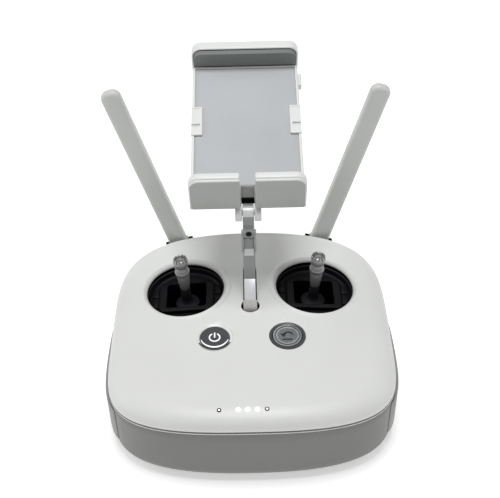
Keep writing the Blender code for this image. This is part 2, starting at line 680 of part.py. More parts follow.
def build_wall_button(lower, name, x, side, z, radius):
    frame = wall_frame(name, x, side, z)
    boolean(lower, cylinder("button_port", radius + GAP, -9, 9, "Y", parent=frame, segments=24))
    cap = cylinder(name, radius, -5.0, 1.4, "Y", GREY, frame, segments=20)
    bevel(cap, 0.5, 1)
    boolean(cap, cylinder("button_flange", radius + 1.6, -6.0, -3.8, "Y", parent=frame, segments=20),
            "UNION")


def build_dial(lower, name, x, side, z):
    frame = wall_frame(name, x, side, z)
    hub = empty(name + "_hub", (0, -5.5, 0), parent=frame)
    boolean(lower, box("dial_port", (-8.6, -9, -3.6), (8.6, 9, 3.6), parent=frame))
    points = []
    for i in range(40):
        radius = 8.6 if i % 4 < 2 else 8.1
        angle = 2 * math.pi * i / 40
        points.append((radius * math.cos(angle), radius * math.sin(angle)))
    wheel = flat(name, points, -3.0, 3.0, "Z", GREY, hub)
    boolean(wheel, cylinder("dial_bore", 1.7, -5, 5, parent=hub, segments=16))


def build_mode_switch(lower):
    frame = wall_frame("mode_switch", 22.0, 1, 30.0)
    boolean(lower, box("switch_port", (-10.3, -9, -2.7), (10.3, 9, 2.7), parent=frame))
    knob = box("mode_switch", (-4.4, -5.0, -2.3), (4.4, 1.6, 2.3), GREY, frame, edge=0.5)
    boolean(knob, box("switch_plate", (-12.9, -6.0, -4.6), (10.9, -4.4, 4.6), parent=frame), "UNION")


def build_sockets(lower):
    """Rectangular sockets let into the middle of the far wall."""
    for name, x, half, tall in (("usb_socket", -6.0, 6.8, 3.6), ("power_socket", 11.5, 5.6, 3.8)):
        wall_y = wall_point(abs(x), 1)[0].y
        z = 18.0
        low = (x - half, wall_y - 15.0, z - tall)
        high = (x + half, wall_y - 1.0, z + tall)
        boolean(lower, box("socket_port", [low[0] - GAP, low[1], low[2] - GAP],
                           [high[0] + GAP, high[1] + 9, high[2] + GAP]))
        socket = box(name, low, high, SOCKET)
        boolean(socket, box("socket_mouth", (low[0] + 1, low[1] + 1.5, low[2] + 1),
                            (high[0] - 1, high[1] + 5, high[2] - 1)))


def build_wall_controls(lower):
    build_dial(lower, "gimbal_dial", 76.0, -1, 33.0)
    build_dial(lower, "settings_dial", 76.0, 1, 33.0)
    build_wall_button(lower, "record_button", 58.0, -1, 19.5, 4.6)
    build_wall_button(lower, "shutter_button", 60.0, 1, 19.5, 5.0)
    build_wall_button(lower, "playback_button", 45.0, 1, 20.0, 3.4)
    build_mode_switch(lower)
    build_sockets(lower)


def main():
    top, lower = build_housing()
    build_wells(top)
    build_top_buttons(top)
    build_lights(top)
    build_cradle(top)
    build_holder(build_arm())
    build_antennas(lower)
    build_wall_controls(lower)


main()
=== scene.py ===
"""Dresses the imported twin-stick transmitter: fine shells, castings, sticks, clamp and finishes.

Sizes are in millimetres and turned to metres as each piece is made.  Pivots come
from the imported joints, so every moving piece sits on the axis that carries it.
"""

import json
import logging
import math
from dataclasses import dataclass
from enum import Enum

import bmesh
import bpy
from mathutils import Matrix, Vector


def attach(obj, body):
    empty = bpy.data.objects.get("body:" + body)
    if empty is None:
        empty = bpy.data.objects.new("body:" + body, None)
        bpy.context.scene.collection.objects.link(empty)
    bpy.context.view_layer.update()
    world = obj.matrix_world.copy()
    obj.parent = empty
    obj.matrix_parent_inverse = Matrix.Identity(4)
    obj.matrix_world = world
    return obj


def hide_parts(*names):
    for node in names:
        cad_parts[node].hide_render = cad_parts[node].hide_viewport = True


MM = 0.001
LOG = logging.getLogger("transmitter")

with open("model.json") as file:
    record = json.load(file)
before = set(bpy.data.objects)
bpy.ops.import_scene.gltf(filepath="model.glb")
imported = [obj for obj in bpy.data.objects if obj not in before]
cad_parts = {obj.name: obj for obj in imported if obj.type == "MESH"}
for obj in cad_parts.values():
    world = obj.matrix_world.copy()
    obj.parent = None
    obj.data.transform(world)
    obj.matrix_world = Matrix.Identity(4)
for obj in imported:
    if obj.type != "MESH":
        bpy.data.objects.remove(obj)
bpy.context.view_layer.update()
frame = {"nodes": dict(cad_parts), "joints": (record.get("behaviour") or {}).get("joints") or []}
JOINTS = {joint["name"]: joint for joint in frame["joints"]}


class Side(Enum):
    """The user's left or right hand side."""

    LEFT = -1
    RIGHT = 1

    @property
    def word(self) -> str:
        """The side's name in piece and node names."""
        return self.name.lower()


class Axis(Enum):
    """The row axis that a rod or a plate is made along."""

    X = Matrix.Rotation(math.radians(90), 4, "Y")
    Y = Matrix.Rotation(math.radians(-90), 4, "X")
    Z = Matrix.Identity(4)


class Cap(Enum):
    """How the last ring of a skin is closed."""

    OPEN = 0
    POINT = 1
    FLAT = 2


Point2 = tuple[float, float]
Point3 = tuple[float, float, float]


# ------------------------------------------------------------------ workbench
def clear_selection() -> None:
    """Leave edit mode and deselect everything."""
    if bpy.context.mode != "OBJECT":
        bpy.ops.object.mode_set(mode="OBJECT")
    bpy.ops.object.select_all(action="DESELECT")


def pick(obj: bpy.types.Object) -> bpy.types.Object:
    """Make one object the only selected and active one."""
    clear_selection()
    obj.select_set(True)
    bpy.context.view_layer.objects.active = obj
    return obj


def settle(obj: bpy.types.Object, place: Matrix | None = None) -> bpy.types.Object:
    """Carry an object to its place and put that place into its mesh.

    Args:
        obj: The object to settle.
        place: A matrix in metres from the piece's own frame to the row frame.

    Returns:
        The same object, now at the origin with its place in its mesh.
    """
    if place is not None:
        obj.matrix_world = place @ obj.matrix_world
    pick(obj)
    bpy.ops.object.transform_apply(location=True, rotation=True, scale=True)
    return obj


def new_active(name: str) -> bpy.types.Object:
    """Name the object that an add operator has just made."""
    obj = bpy.context.active_object
    obj.name = name
    obj.data.name = name
    return obj


def add_box(name: str, low: Point3, high: Point3) -> bpy.types.Object:
    """A box between two corners, in millimetres."""
    clear_selection()
    centre = [(a + b) / 2 * MM for a, b in zip(low, high)]
    bpy.ops.mesh.primitive_cube_add(size=1.0, location=centre)
    obj = new_active(name)
    obj.scale = [(b - a) * MM for a, b in zip(low, high)]
    return settle(obj)


def add_rod(name: str, radius: float, start: float, end: float, axis: Axis = Axis.Z,
            centre: Point3 = (0, 0, 0), sides: int = 48) -> bpy.types.Object:
    """A round bar along an axis.

    Args:
        name: Object name.
        radius: Radius in millimetres.
        start: Lower end along the axis, from the centre.
        end: Upper end along the axis, from the centre.
        axis: The direction it runs in.
        centre: A point on its axis.
        sides: Number of flats round it.

    Returns:
        The new object.
    """
    clear_selection()
    bpy.ops.mesh.primitive_cylinder_add(vertices=sides, radius=radius * MM, depth=(end - start) * MM,
                                        location=(0, 0, (start + end) / 2 * MM))
    obj = new_active(name)
    return settle(obj, Matrix.Translation(Vector(centre) * MM) @ axis.value)


def add_plate(name: str, outline: list[Point2], low: float, high: float,
              axis: Axis = Axis.Z) -> bpy.types.Object:
    """A flat outline extruded from low to high along an axis.

    Args:
        name: Object name.
        outline: Points in (Y, Z) for axis X, (X, Z) for axis Y, (X, Y) for axis Z.
        low: Where the plate starts along the axis.
        high: Where it ends.
        axis: The direction of extrusion.

    Returns:
        The new object.
    """
    clear_selection()
    bpy.ops.mesh.primitive_circle_add(vertices=len(outline), fill_type="NGON")
    obj = new_active(name)
    places = {Axis.X: lambda a, b: (low, a, b), Axis.Y: lambda a, b: (a, low, b),
              Axis.Z: lambda a, b: (a, b, low)}
    for vert, (a, b) in zip(obj.data.vertices, outline):
        vert.co = Vector(places[axis](a, b)) * MM
    bpy.ops.object.mode_set(mode="EDIT")
    bpy.ops.mesh.select_all(action="SELECT")
    rise = {Axis.X: (1, 0, 0), Axis.Y: (0, 1, 0), Axis.Z: (0, 0, 1)}[axis]
    bpy.ops.mesh.extrude_region_move(
        TRANSFORM_OT_translate={"value": Vector(rise) * (high - low) * MM})
    bpy.ops.mesh.select_all(action="SELECT")
    bpy.ops.mesh.normals_make_consistent(inside=False)
    bpy.ops.object.mode_set(mode="OBJECT")
    return obj


def add_lathe(name: str, profile: list[Point2], steps: int = 64) -> bpy.types.Object:
    """Turn a (radius, height) profile about Z by extruding a vertex and spinning it.

    Args:
        name: Object name.
        profile: Points in order; a profile that doesn't start on the axis is closed.
        steps: Steps of the turn.

    Returns:
        The new object, closed and facing outwards.
    """
    clear_selection()
    bpy.ops.mesh.primitive_circle_add(vertices=3, radius=MM)
    obj = new_active(name)
    bpy.ops.object.mode_set(mode="EDIT")
    bpy.ops.mesh.merge(type="CENTER")
    points = [Vector((radius, 0, height)) * MM for radius, height in profile]
    if profile[0][0] > 0:
        points.append(points[0])
    bpy.ops.transform.translate(value=points[0])
    for here, there in zip(points, points[1:]):
        bpy.ops.mesh.extrude_region_move(TRANSFORM_OT_translate={"value": there - here})
    bpy.ops.mesh.select_all(action="SELECT")
    bpy.ops.mesh.remove_doubles(threshold=1e-6)
    bpy.ops.mesh.spin(steps=steps, angle=2 * math.pi, center=(0, 0, 0), axis=(0, 0, 1))
    bpy.ops.mesh.select_all(action="SELECT")
    bpy.ops.mesh.remove_doubles(threshold=1e-6)
    bpy.ops.mesh.normals_make_consistent(inside=False)
    bpy.ops.object.mode_set(mode="OBJECT")
    return obj


def add_skin(name: str, rings: list[list[Point3]], cap: Cap) -> bpy.types.Object:
    """An open skin grown ring by ring from a circle primitive.

    Args:
        name: Object name.
        rings: Rings of equally many points, in millimetres.
        cap: How the last ring is closed.

    Returns:
        The new object.
    """
    clear_selection()
    bpy.ops.mesh.primitive_circle_add(vertices=len(rings[0]), fill_type="NOTHING")
    obj = new_active(name)
    for vert, point in zip(obj.data.vertices, rings[0]):
        vert.co = Vector(point) * MM
    bpy.ops.object.mode_set(mode="EDIT")
    bpy.ops.mesh.select_all(action="SELECT")
    work = bmesh.from_edit_mesh(obj.data)
    order = {tuple(vert.co): i for i, vert in enumerate(work.verts)}
    for ring in rings[1:]:
        bpy.ops.mesh.extrude_region_move()
        work = bmesh.from_edit_mesh(obj.data)
        fresh = [(vert, order[tuple(vert.co)]) for vert in work.verts if vert.select]
        order = {}
        for vert, index in fresh:
            vert.co = Vector(ring[index]) * MM
            order[tuple(vert.co)] = index
        bmesh.update_edit_mesh(obj.data)
    if cap is Cap.POINT:
        bpy.ops.mesh.extrude_region_move()
        bpy.ops.mesh.merge(type="CENTER")
    elif cap is Cap.FLAT:
        bpy.ops.mesh.edge_face_add()
    bpy.ops.mesh.select_all(action="SELECT")
    bpy.ops.mesh.normals_make_consistent(inside=False)
    bpy.ops.object.mode_set(mode="OBJECT")
    return obj


def apply_modifiers(obj: bpy.types.Object) -> bpy.types.Object:
    """Apply all of an object's modifiers, in order."""
    pick(obj)
    for modifier in list(obj.modifiers):
        bpy.ops.object.modifier_apply(modifier=modifier.name)
    return obj


def combine(obj: bpy.types.Object, tools: list[bpy.types.Object], operation: str,
            solver: str = "EXACT") -> bpy.types.Object:
    """Cut or weld tools with an object, and remove the tools."""
    for tool in tools:
        modifier = obj.modifiers.new("combine", "BOOLEAN")
        modifier.operation = operation
        modifier.object = tool
        modifier.solver = solver
        apply_modifiers(obj)
        bpy.data.objects.remove(tool, do_unlink=True)
    return obj


def cut(obj: bpy.types.Object, *tools: bpy.types.Object) -> bpy.types.Object:
    """Cut tools away from an object."""
    return combine(obj, list(tools), "DIFFERENCE")


def weld(obj: bpy.types.Object, *tools: bpy.types.Object) -> bpy.types.Object:
    """Join tools to an object as one closed body."""
    return combine(obj, list(tools), "UNION")


def round_edges(obj: bpy.types.Object, width: float, segments: int = 3,
                angle: float = 30.0) -> bpy.types.Object:
    """Round an object's sharp edges with an applied bevel."""
    modifier = obj.modifiers.new("round", "BEVEL")
    modifier.width = width * MM
    modifier.segments = segments
    modifier.limit_method = "ANGLE"
    modifier.angle_limit = math.radians(angle)
    modifier.use_clamp_overlap = True
    return apply_modifiers(obj)


def arc(a: float, b: float, radius: float, start: float, end: float, count: int) -> list[Point2]:
    """Points along an arc about (a, b), from start to end in degrees."""
    turns = [math.radians(start + (end - start) * i / count) for i in range(count + 1)]
    return [(a + radius * math.cos(turn), b + radius * math.sin(turn)) for turn in turns]


def rounded_outline(low: Point2, high: Point2, radii: tuple[float, float, float, float],
                    count: int = 6) -> list[Point2]:
    """A rectangle with its own radius at each corner.

    Args:
        low: Lower left corner.
        high: Upper right corner.
        radii: Radii from the upper right corner, going round anticlockwise.
        count: Steps in each corner.

    Returns:
        The outline's points.
    """
    corners = [(high[0], high[1], -1, -1, 0), (low[0], high[1], 1, -1, 90),
               (low[0], low[1], 1, 1, 180), (high[0], low[1], -1, 1, 270)]
    points = []
    for (x, y, inward_x, inward_y, start), radius in zip(corners, radii):
        if radius <= 0:
            points.append((x, y))
        else:
            points += arc(x + inward_x * radius, y + inward_y * radius, radius, start, start + 90, count)
    return points


# ------------------------------------------------------------------- finishes
class Wiring:
    """Adds shader nodes to a material and links them."""

    def __init__(self, name: str) -> None:
        """Start a node material with its Principled shader."""
        self.material = bpy.data.materials.new(name)
        self.material.use_nodes = True
        self.tree = self.material.node_tree
        self.shader = self.tree.nodes["Principled BSDF"]

    def node(self, kind: str, **values: object) -> bpy.types.Node:
        """Add a node and set its properties or inputs by name."""
        made = self.tree.nodes.new(kind)
        for key, value in values.items():
            if key in made.inputs:
                made.inputs[key].default_value = value
            else:
                setattr(made, key, value)
        return made

    def link(self, source: bpy.types.NodeSocket, target: bpy.types.NodeSocket) -> None:
        """Link two sockets."""
        self.tree.links.new(source, target)

    def coordinates(self) -> bpy.types.NodeSocket:
        """The piece's own coordinates."""
        return self.node("ShaderNodeTexCoord").outputs["Object"]


@dataclass(frozen=True)
class Finish:
    """A surface: colour with a faint drift, gloss that varies, and a moulded or cast grain.

    Attributes:
        name: Material name.
        slot: The record's material slot; not used.
        colour: Base colour, linear.
        roughness: Middle roughness.
        metallic: 1 for bare metal.
        drift: How far the colour drifts, as a share of itself.
        drift_scale: Drifts per metre.
        gloss_drift: How far the roughness varies either way.
        grain_scale: Grains per metre.
        grain_depth: Height of the grain, in millimetres.
        stretch: Scale of the grain along X, Y and Z.
        coat: Clear coat weight.
        glow: Strength of its own light.
        wear: How much its edges lighten.
        shine: Strength of its mirror-like reflection; 0.5 is plain plastic.
    """

    name: str
    slot: str
    colour: Point3
    roughness: float
    metallic: float = 0.0
    drift: float = 0.05
    drift_scale: float = 45.0
    gloss_drift: float = 0.05
    grain_scale: float = 2600.0
    grain_depth: float = 0.012
    stretch: Point3 = (1.0, 1.0, 1.0)
    coat: float = 0.0
    glow: float = 0.0
    wear: float = 0.0
    shine: float = 0.5

    def material(self) -> bpy.types.Material:
        """The finish's material, made once and then shared."""
        found = bpy.data.materials.get(self.name)
        return found or self._make()

    def _make(self) -> bpy.types.Material:
        """Wire colour, roughness and grain to the shader."""
        wiring = Wiring(self.name)
        shader = wiring.shader
        shader.inputs["Metallic"].default_value = self.metallic
        shader.inputs["Specular IOR Level"].default_value = self.shine
        shader.inputs["Coat Weight"].default_value = self.coat
        shader.inputs["Coat Roughness"].default_value = 0.15
        where = wiring.coordinates()
        self._colour(wiring, where)
        self._gloss(wiring, where)
        self._grain(wiring, where)
        if self.glow:
            shader.inputs["Emission Color"].default_value = (1.0, 1.0, 1.0, 1.0)
            shader.inputs["Emission Strength"].default_value = self.glow
        return wiring.material

    def _colour(self, wiring: Wiring, where: bpy.types.NodeSocket) -> None:
        """Drift the colour with a soft noise, and lighten worn edges."""
        noise = wiring.node("ShaderNodeTexNoise", Scale=self.drift_scale, Detail=3.0, Roughness=0.6)
        wiring.link(where, noise.inputs["Vector"])
        ramp = wiring.node("ShaderNodeValToRGB")
        dark = [channel * (1.0 - self.drift) for channel in self.colour]
        light = [min(1.0, channel * (1.0 + self.drift)) for channel in self.colour]
        ramp.color_ramp.elements[0].position = 0.32
        ramp.color_ramp.elements[0].color = (*dark, 1.0)
        ramp.color_ramp.elements[1].position = 0.68
        ramp.color_ramp.elements[1].color = (*light, 1.0)
        wiring.link(noise.outputs["Fac"], ramp.inputs["Fac"])
        if not self.wear:
            wiring.link(ramp.outputs["Color"], wiring.shader.inputs["Base Color"])
            return
        edge = wiring.node("ShaderNodeNewGeometry")
        band = wiring.node("ShaderNodeMapRange")
        band.inputs["From Min"].default_value = 0.52
        band.inputs["From Max"].default_value = 0.62
        band.inputs["To Max"].default_value = self.wear
        wiring.link(edge.outputs["Pointiness"], band.inputs["Value"])
        blend = wiring.node("ShaderNodeMix", data_type="RGBA")
        wiring.link(band.outputs["Result"], blend.inputs[0])
        wiring.link(ramp.outputs["Color"], blend.inputs[6])
        worn = [min(1.0, channel * 1.35 + 0.04) for channel in self.colour]
        blend.inputs[7].default_value = (*worn, 1.0)
        wiring.link(blend.outputs[2], wiring.shader.inputs["Base Color"])

    def _gloss(self, wiring: Wiring, where: bpy.types.NodeSocket) -> None:
        """Vary the roughness with smudges a few millimetres across."""
        noise = wiring.node("ShaderNodeTexNoise", Scale=self.drift_scale * 3.2, Detail=4.0)
        wiring.link(where, noise.inputs["Vector"])
        band = wiring.node("ShaderNodeMapRange")
        band.inputs["To Min"].default_value = max(0.02, self.roughness - self.gloss_drift)
        band.inputs["To Max"].default_value = min(1.0, self.roughness + self.gloss_drift)
        wiring.link(noise.outputs["Fac"], band.inputs["Value"])
        wiring.link(band.outputs["Result"], wiring.shader.inputs["Roughness"])

    def _grain(self, wiring: Wiring, where: bpy.types.NodeSocket) -> None:
        """Raise a fine grain, stretched where the finish is brushed."""
        mapping = wiring.node("ShaderNodeMapping")
        mapping.inputs["Scale"].default_value = self.stretch
        wiring.link(where, mapping.inputs["Vector"])
        noise = wiring.node("ShaderNodeTexNoise", Scale=self.grain_scale, Detail=2.0)
        wiring.link(mapping.outputs["Vector"], noise.inputs["Vector"])
        bump = wiring.node("ShaderNodeBump", Strength=0.6, Distance=self.grain_depth * MM)
        wiring.link(noise.outputs["Fac"], bump.inputs["Height"])
        wiring.link(bump.outputs["Normal"], wiring.shader.inputs["Normal"])


@dataclass(frozen=True)
class RibbedFinish(Finish):
    """A finish with fine raised ribs, such as a rubber grip band or a knurled edge."""

    rib_scale: float = 120.0
    rib_depth: float = 0.12
    direction: str = "Z"

    def _grain(self, wiring: Wiring, where: bpy.types.NodeSocket) -> None:
        """Raise ribs in place of the plain grain."""
        wave = wiring.node("ShaderNodeTexWave", Scale=self.rib_scale, Distortion=0.0)
        wave.bands_direction = self.direction
        wiring.link(where, wave.inputs["Vector"])
        noise = wiring.node("ShaderNodeTexNoise", Scale=self.grain_scale, Detail=2.0)
        wiring.link(where, noise.inputs["Vector"])
        fine = wiring.node("ShaderNodeBump", Strength=0.5, Distance=self.grain_depth * MM)
        wiring.link(noise.outputs["Fac"], fine.inputs["Height"])
        ribs = wiring.node("ShaderNodeBump", Strength=0.8, Distance=self.rib_depth * MM)
        wiring.link(wave.outputs["Fac"], ribs.inputs["Height"])
        wiring.link(fine.outputs["Normal"], ribs.inputs["Normal"])
        wiring.link(ribs.outputs["Normal"], wiring.shader.inputs["Normal"])


class Finishes:
    """The finishes that this transmitter is made in."""

    WHITE = Finish("satin_white_shell", "housing_white", (0.74, 0.75, 0.735), 0.42, drift=0.012,
                   drift_scale=20, grain_depth=0.006, wear=0.25)
    # Painted shade: the lower case is the same white moulding, darkened for walls that face away from the
    # overhead light.
    LOWER = Finish("satin_pale_lower", "housing_white", (0.186, 0.186, 0.178), 0.46, drift=0.015,
                   drift_scale=20, grain_depth=0.008)
    # Painted highlight: a brighter copy of the shell white, for rounded rims and beads that catch the light.
    RIM = Finish("bright_white_rim", "housing_white", (0.84, 0.85, 0.83), 0.32, drift=0.01)
    GRIP = RibbedFinish("soft_grey_grip", "grip_grey", (0.30, 0.31, 0.30), 0.62, rib_scale=90.0)
    CONTROL = Finish("satin_grey_control", "grip_grey", (0.27, 0.275, 0.28), 0.5, wear=0.2)
    BUTTON = Finish("satin_button_cap", "button_grey", (0.075, 0.080, 0.084), 0.36, metallic=0.35,
                    grain_depth=0.008, wear=0.15)
    RETURN = Finish("satin_return_cap", "button_grey", (0.20, 0.212, 0.212), 0.34, metallic=0.4,
                    grain_depth=0.008, wear=0.15)
    BRIGHT = Finish("bright_button_ring", "button_grey", (0.72, 0.73, 0.74), 0.22, metallic=0.9)
    # Printed white for the power sign, and a painted highlight on the power cap; its glow is painted light,
    # as neither is a lamp.
    SIGN_WHITE = Finish("printed_white_sign", "light_white", (0.92, 0.93, 0.93), 0.35, glow=0.35)
    SIGN_DARK = Finish("printed_dark_sign", "button_grey", (0.015, 0.016, 0.018), 0.4)
    PAD = Finish("matte_grey_pad", "pad_grey", (0.49, 0.505, 0.52), 0.72, drift=0.04, drift_scale=18,
                 grain_scale=3800, grain_depth=0.03)
    FACING = RibbedFinish("dark_jaw_facing", "jaw_grey", (0.19, 0.205, 0.195), 0.7, rib_scale=160.0)
    BLACK = Finish("deep_black_moulding", "well_black", (0.0045, 0.004, 0.0055), 0.5, drift=0.2, shine=0.16)
    BLACK_SOFT = Finish("soft_black_boot", "well_black", (0.008, 0.007, 0.010), 0.6, drift=0.2, shine=0.25,
                        grain_depth=0.02)
    SILVER = Finish("turned_satin_silver", "stick_silver", (0.34, 0.345, 0.34), 0.36, metallic=0.55,
                    stretch=(1.0, 1.0, 14.0), grain_scale=1500, grain_depth=0.01, wear=0.3)
    CASTING = Finish("blasted_casting", "arm_metal", (0.33, 0.34, 0.335), 0.42, metallic=0.45,
                     grain_scale=3000, grain_depth=0.02, wear=0.3)
    # Painted highlight: a lighter copy of the casting, for arm faces that turn up to the light.
    BRIGHT_FACE = Finish("polished_casting_face", "arm_metal", (0.72, 0.73, 0.74), 0.35, metallic=0.1,
                         grain_depth=0.004)
    # Painted light: a lighter copy of the casting for the arm's sloping tongue, which turns up to the light;
    # the speckle is its own tone.
    TONGUE = Finish("speckled_casting_foot", "arm_metal", (0.74, 0.72, 0.70), 0.5, metallic=0.1, drift=0.12,
                    drift_scale=900, grain_depth=0.02)
    TRAY = Finish("satin_white_clamp", "housing_white", (0.78, 0.795, 0.78), 0.36, drift=0.012,
                  drift_scale=25, grain_depth=0.006, wear=0.3)
    # Painted shade: the clamp's white moulding, greyed for the lip's front panels that face away from the
    # overhead light.
    PANEL = Finish("satin_grey_panel", "housing_white", (0.45, 0.46, 0.44), 0.42, drift=0.03,
                   drift_scale=25, grain_depth=0.006)
    # Painted shade: the clamp's white moulding, greyed for the block set back between the lips; the speckle
    # is its own tone.
    BLOCK = Finish("speckled_grey_block", "housing_white", (0.30, 0.31, 0.30), 0.5, drift=0.15,
                   drift_scale=900)
    ANTENNA = Finish("satin_antenna", "antenna_grey", (0.62, 0.635, 0.61), 0.45, drift=0.012,
                     drift_scale=20, grain_depth=0.006)
    STEEL = Finish("plain_steel", "steel", (0.55, 0.55, 0.55), 0.28, metallic=1.0, wear=0.3)
    SCREW = Finish("black_screw", "screw_black", (0.012, 0.012, 0.012), 0.45, metallic=0.4)
    LIT = Finish("lit_lens", "light_white", (0.95, 0.97, 0.96), 0.25, glow=1.6)
    UNLIT = Finish("unlit_lens", "light_white", (0.62, 0.64, 0.63), 0.25)
    BOARD = Finish("green_board", "board_green", (0.02, 0.13, 0.06), 0.4, drift=0.3, drift_scale=300)
    WRAP = Finish("battery_wrap", "battery_wrap", (0.05, 0.055, 0.07), 0.4, coat=0.4)
    SOCKET = Finish("plated_socket", "socket_metal", (0.55, 0.55, 0.54), 0.28, metallic=1.0)


def publish(obj: bpy.types.Object, finish: Finish, body: str, *nodes: str, angle: float = 35.0) -> None:
    """Finish a piece: smooth it, dress it, and hand it to the frame.

    Args:
        obj: The piece, with its place in its mesh.
        finish: Its finish.
        body: The CAD body it moves with.
        nodes: The CAD nodes it stands for.
        angle: Edges sharper than this stay crisp.
    """
    pick(obj)
    bpy.ops.object.shade_smooth_by_angle(angle=math.radians(angle))
    obj.data.materials.clear()
    obj.data.materials.append(finish.material())
    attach(obj, body)
    if nodes:
        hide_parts(*nodes)
    LOG.info("%s on %s: %d faces", obj.name, body, len(obj.data.polygons))


def joint_place(name: str, turn: Matrix | None = None) -> Matrix:
    """A frame at a joint's point, in metres, turned as asked."""
    place = Matrix.Translation(Vector(JOINTS[name]["pos_m"]))
    return place @ turn if turn is not None else place


# -------------------------------------------------------------------- housing
@dataclass
class HousingForm:
    """The case's plan outline and dome, shared by everything let into it."""

    half_width: float = 90.0
    middle_y: float = -20.0
    near_length: float = 76.0
    far_length: float = 106.5
    width_power: float = 2.4
    near_power: float = 5.0
    far_power: float = 4.2
    seam_z: float = 46.0
    seam_bow: float = 2.9
    crown_z: float = 59.5
    ridge_y: float = 36.0
    ridge_soft: float = 2.5
    far_fall: float = 0.22
    far_dip: float = 3.0
    around: int = 160

    def point(self, turn: float, inset: float = 0.0) -> Point2:
        """A point on the outline at an angle, set in by inset."""
        across, along = math.cos(turn), math.sin(turn)
        far = along > 0
        length = self.far_length if far else self.near_length
        power = self.far_power if far else self.near_power
        x = math.copysign(abs(across) ** (2 / self.width_power), across) * (self.half_width - inset)
        y = math.copysign(abs(along) ** (2 / power), along) * (length - inset)
        return x, self.middle_y + y

    def turns(self) -> list[float]:
        """The angles of the points round the case."""
        return [2 * math.pi * (i + 0.5) / self.around for i in range(self.around)]

    def height(self, x: float, y: float) -> float:
        """Height of the top face: a shallow dome that falls away behind a soft ridge."""
        dome = 3.5 * (x / 72) ** 2 + 2.0 * ((y - self.middle_y) / 80) ** 2
        behind = (y - self.ridge_y) / self.ridge_soft
        fall = self.ridge_soft * (math.log1p(math.exp(behind)) if behind < 30 else behind)
        return self.crown_z - dome - self.far_fall * fall

    def seam(self, x: float, y: float) -> float:
        """Height of the seam: it bows up along the near wall and dips toward the far wall."""
        near = max(0.0, (self.middle_y - y) / self.near_length)
        far = max(0.0, (y - self.middle_y) / self.far_length)
        return self.seam_z + self.seam_bow * max(0.0, 1 - (x / 78) ** 2) * near ** 4 - self.far_dip * far ** 2

    def wall(self, x: float, side: int) -> tuple[Vector, Vector]:
        """The far wall's point and outward normal at a given X."""
        share = (abs(x) / self.half_width) ** self.width_power
        y = self.middle_y + self.far_length * (1 - share) ** (1 / self.far_power)
        slope_x = self.width_power / self.half_width * (abs(x) / self.half_width) ** (self.width_power - 1)
        along = (y - self.middle_y) / self.far_length
        slope_y = self.far_power / self.far_length * along ** (self.far_power - 1)
        normal = Vector((slope_x, slope_y, 0)).normalized()
        normal.x *= side
        return Vector((abs(x) * side, y, 0)), normal

    def wall_place(self, x: float, side: int, z: float) -> Matrix:
        """A frame on the far wall whose +Y axis points out of the wall, in metres."""
        point, normal = self.wall(x, side)
        point.z = z
        turn = math.atan2(-normal.x, normal.y)
        return Matrix.Translation(point * MM) @ Matrix.Rotation(turn, 4, "Z")


def shell_wall(obj: bpy.types.Object, thickness: float) -> bpy.types.Object:
    """Give an open skin its wall, inwards."""
    modifier = obj.modifiers.new("wall", "SOLIDIFY")
    modifier.thickness = thickness * MM
    modifier.offset = -1.0
    modifier.use_even_offset = True
    return apply_modifiers(obj)


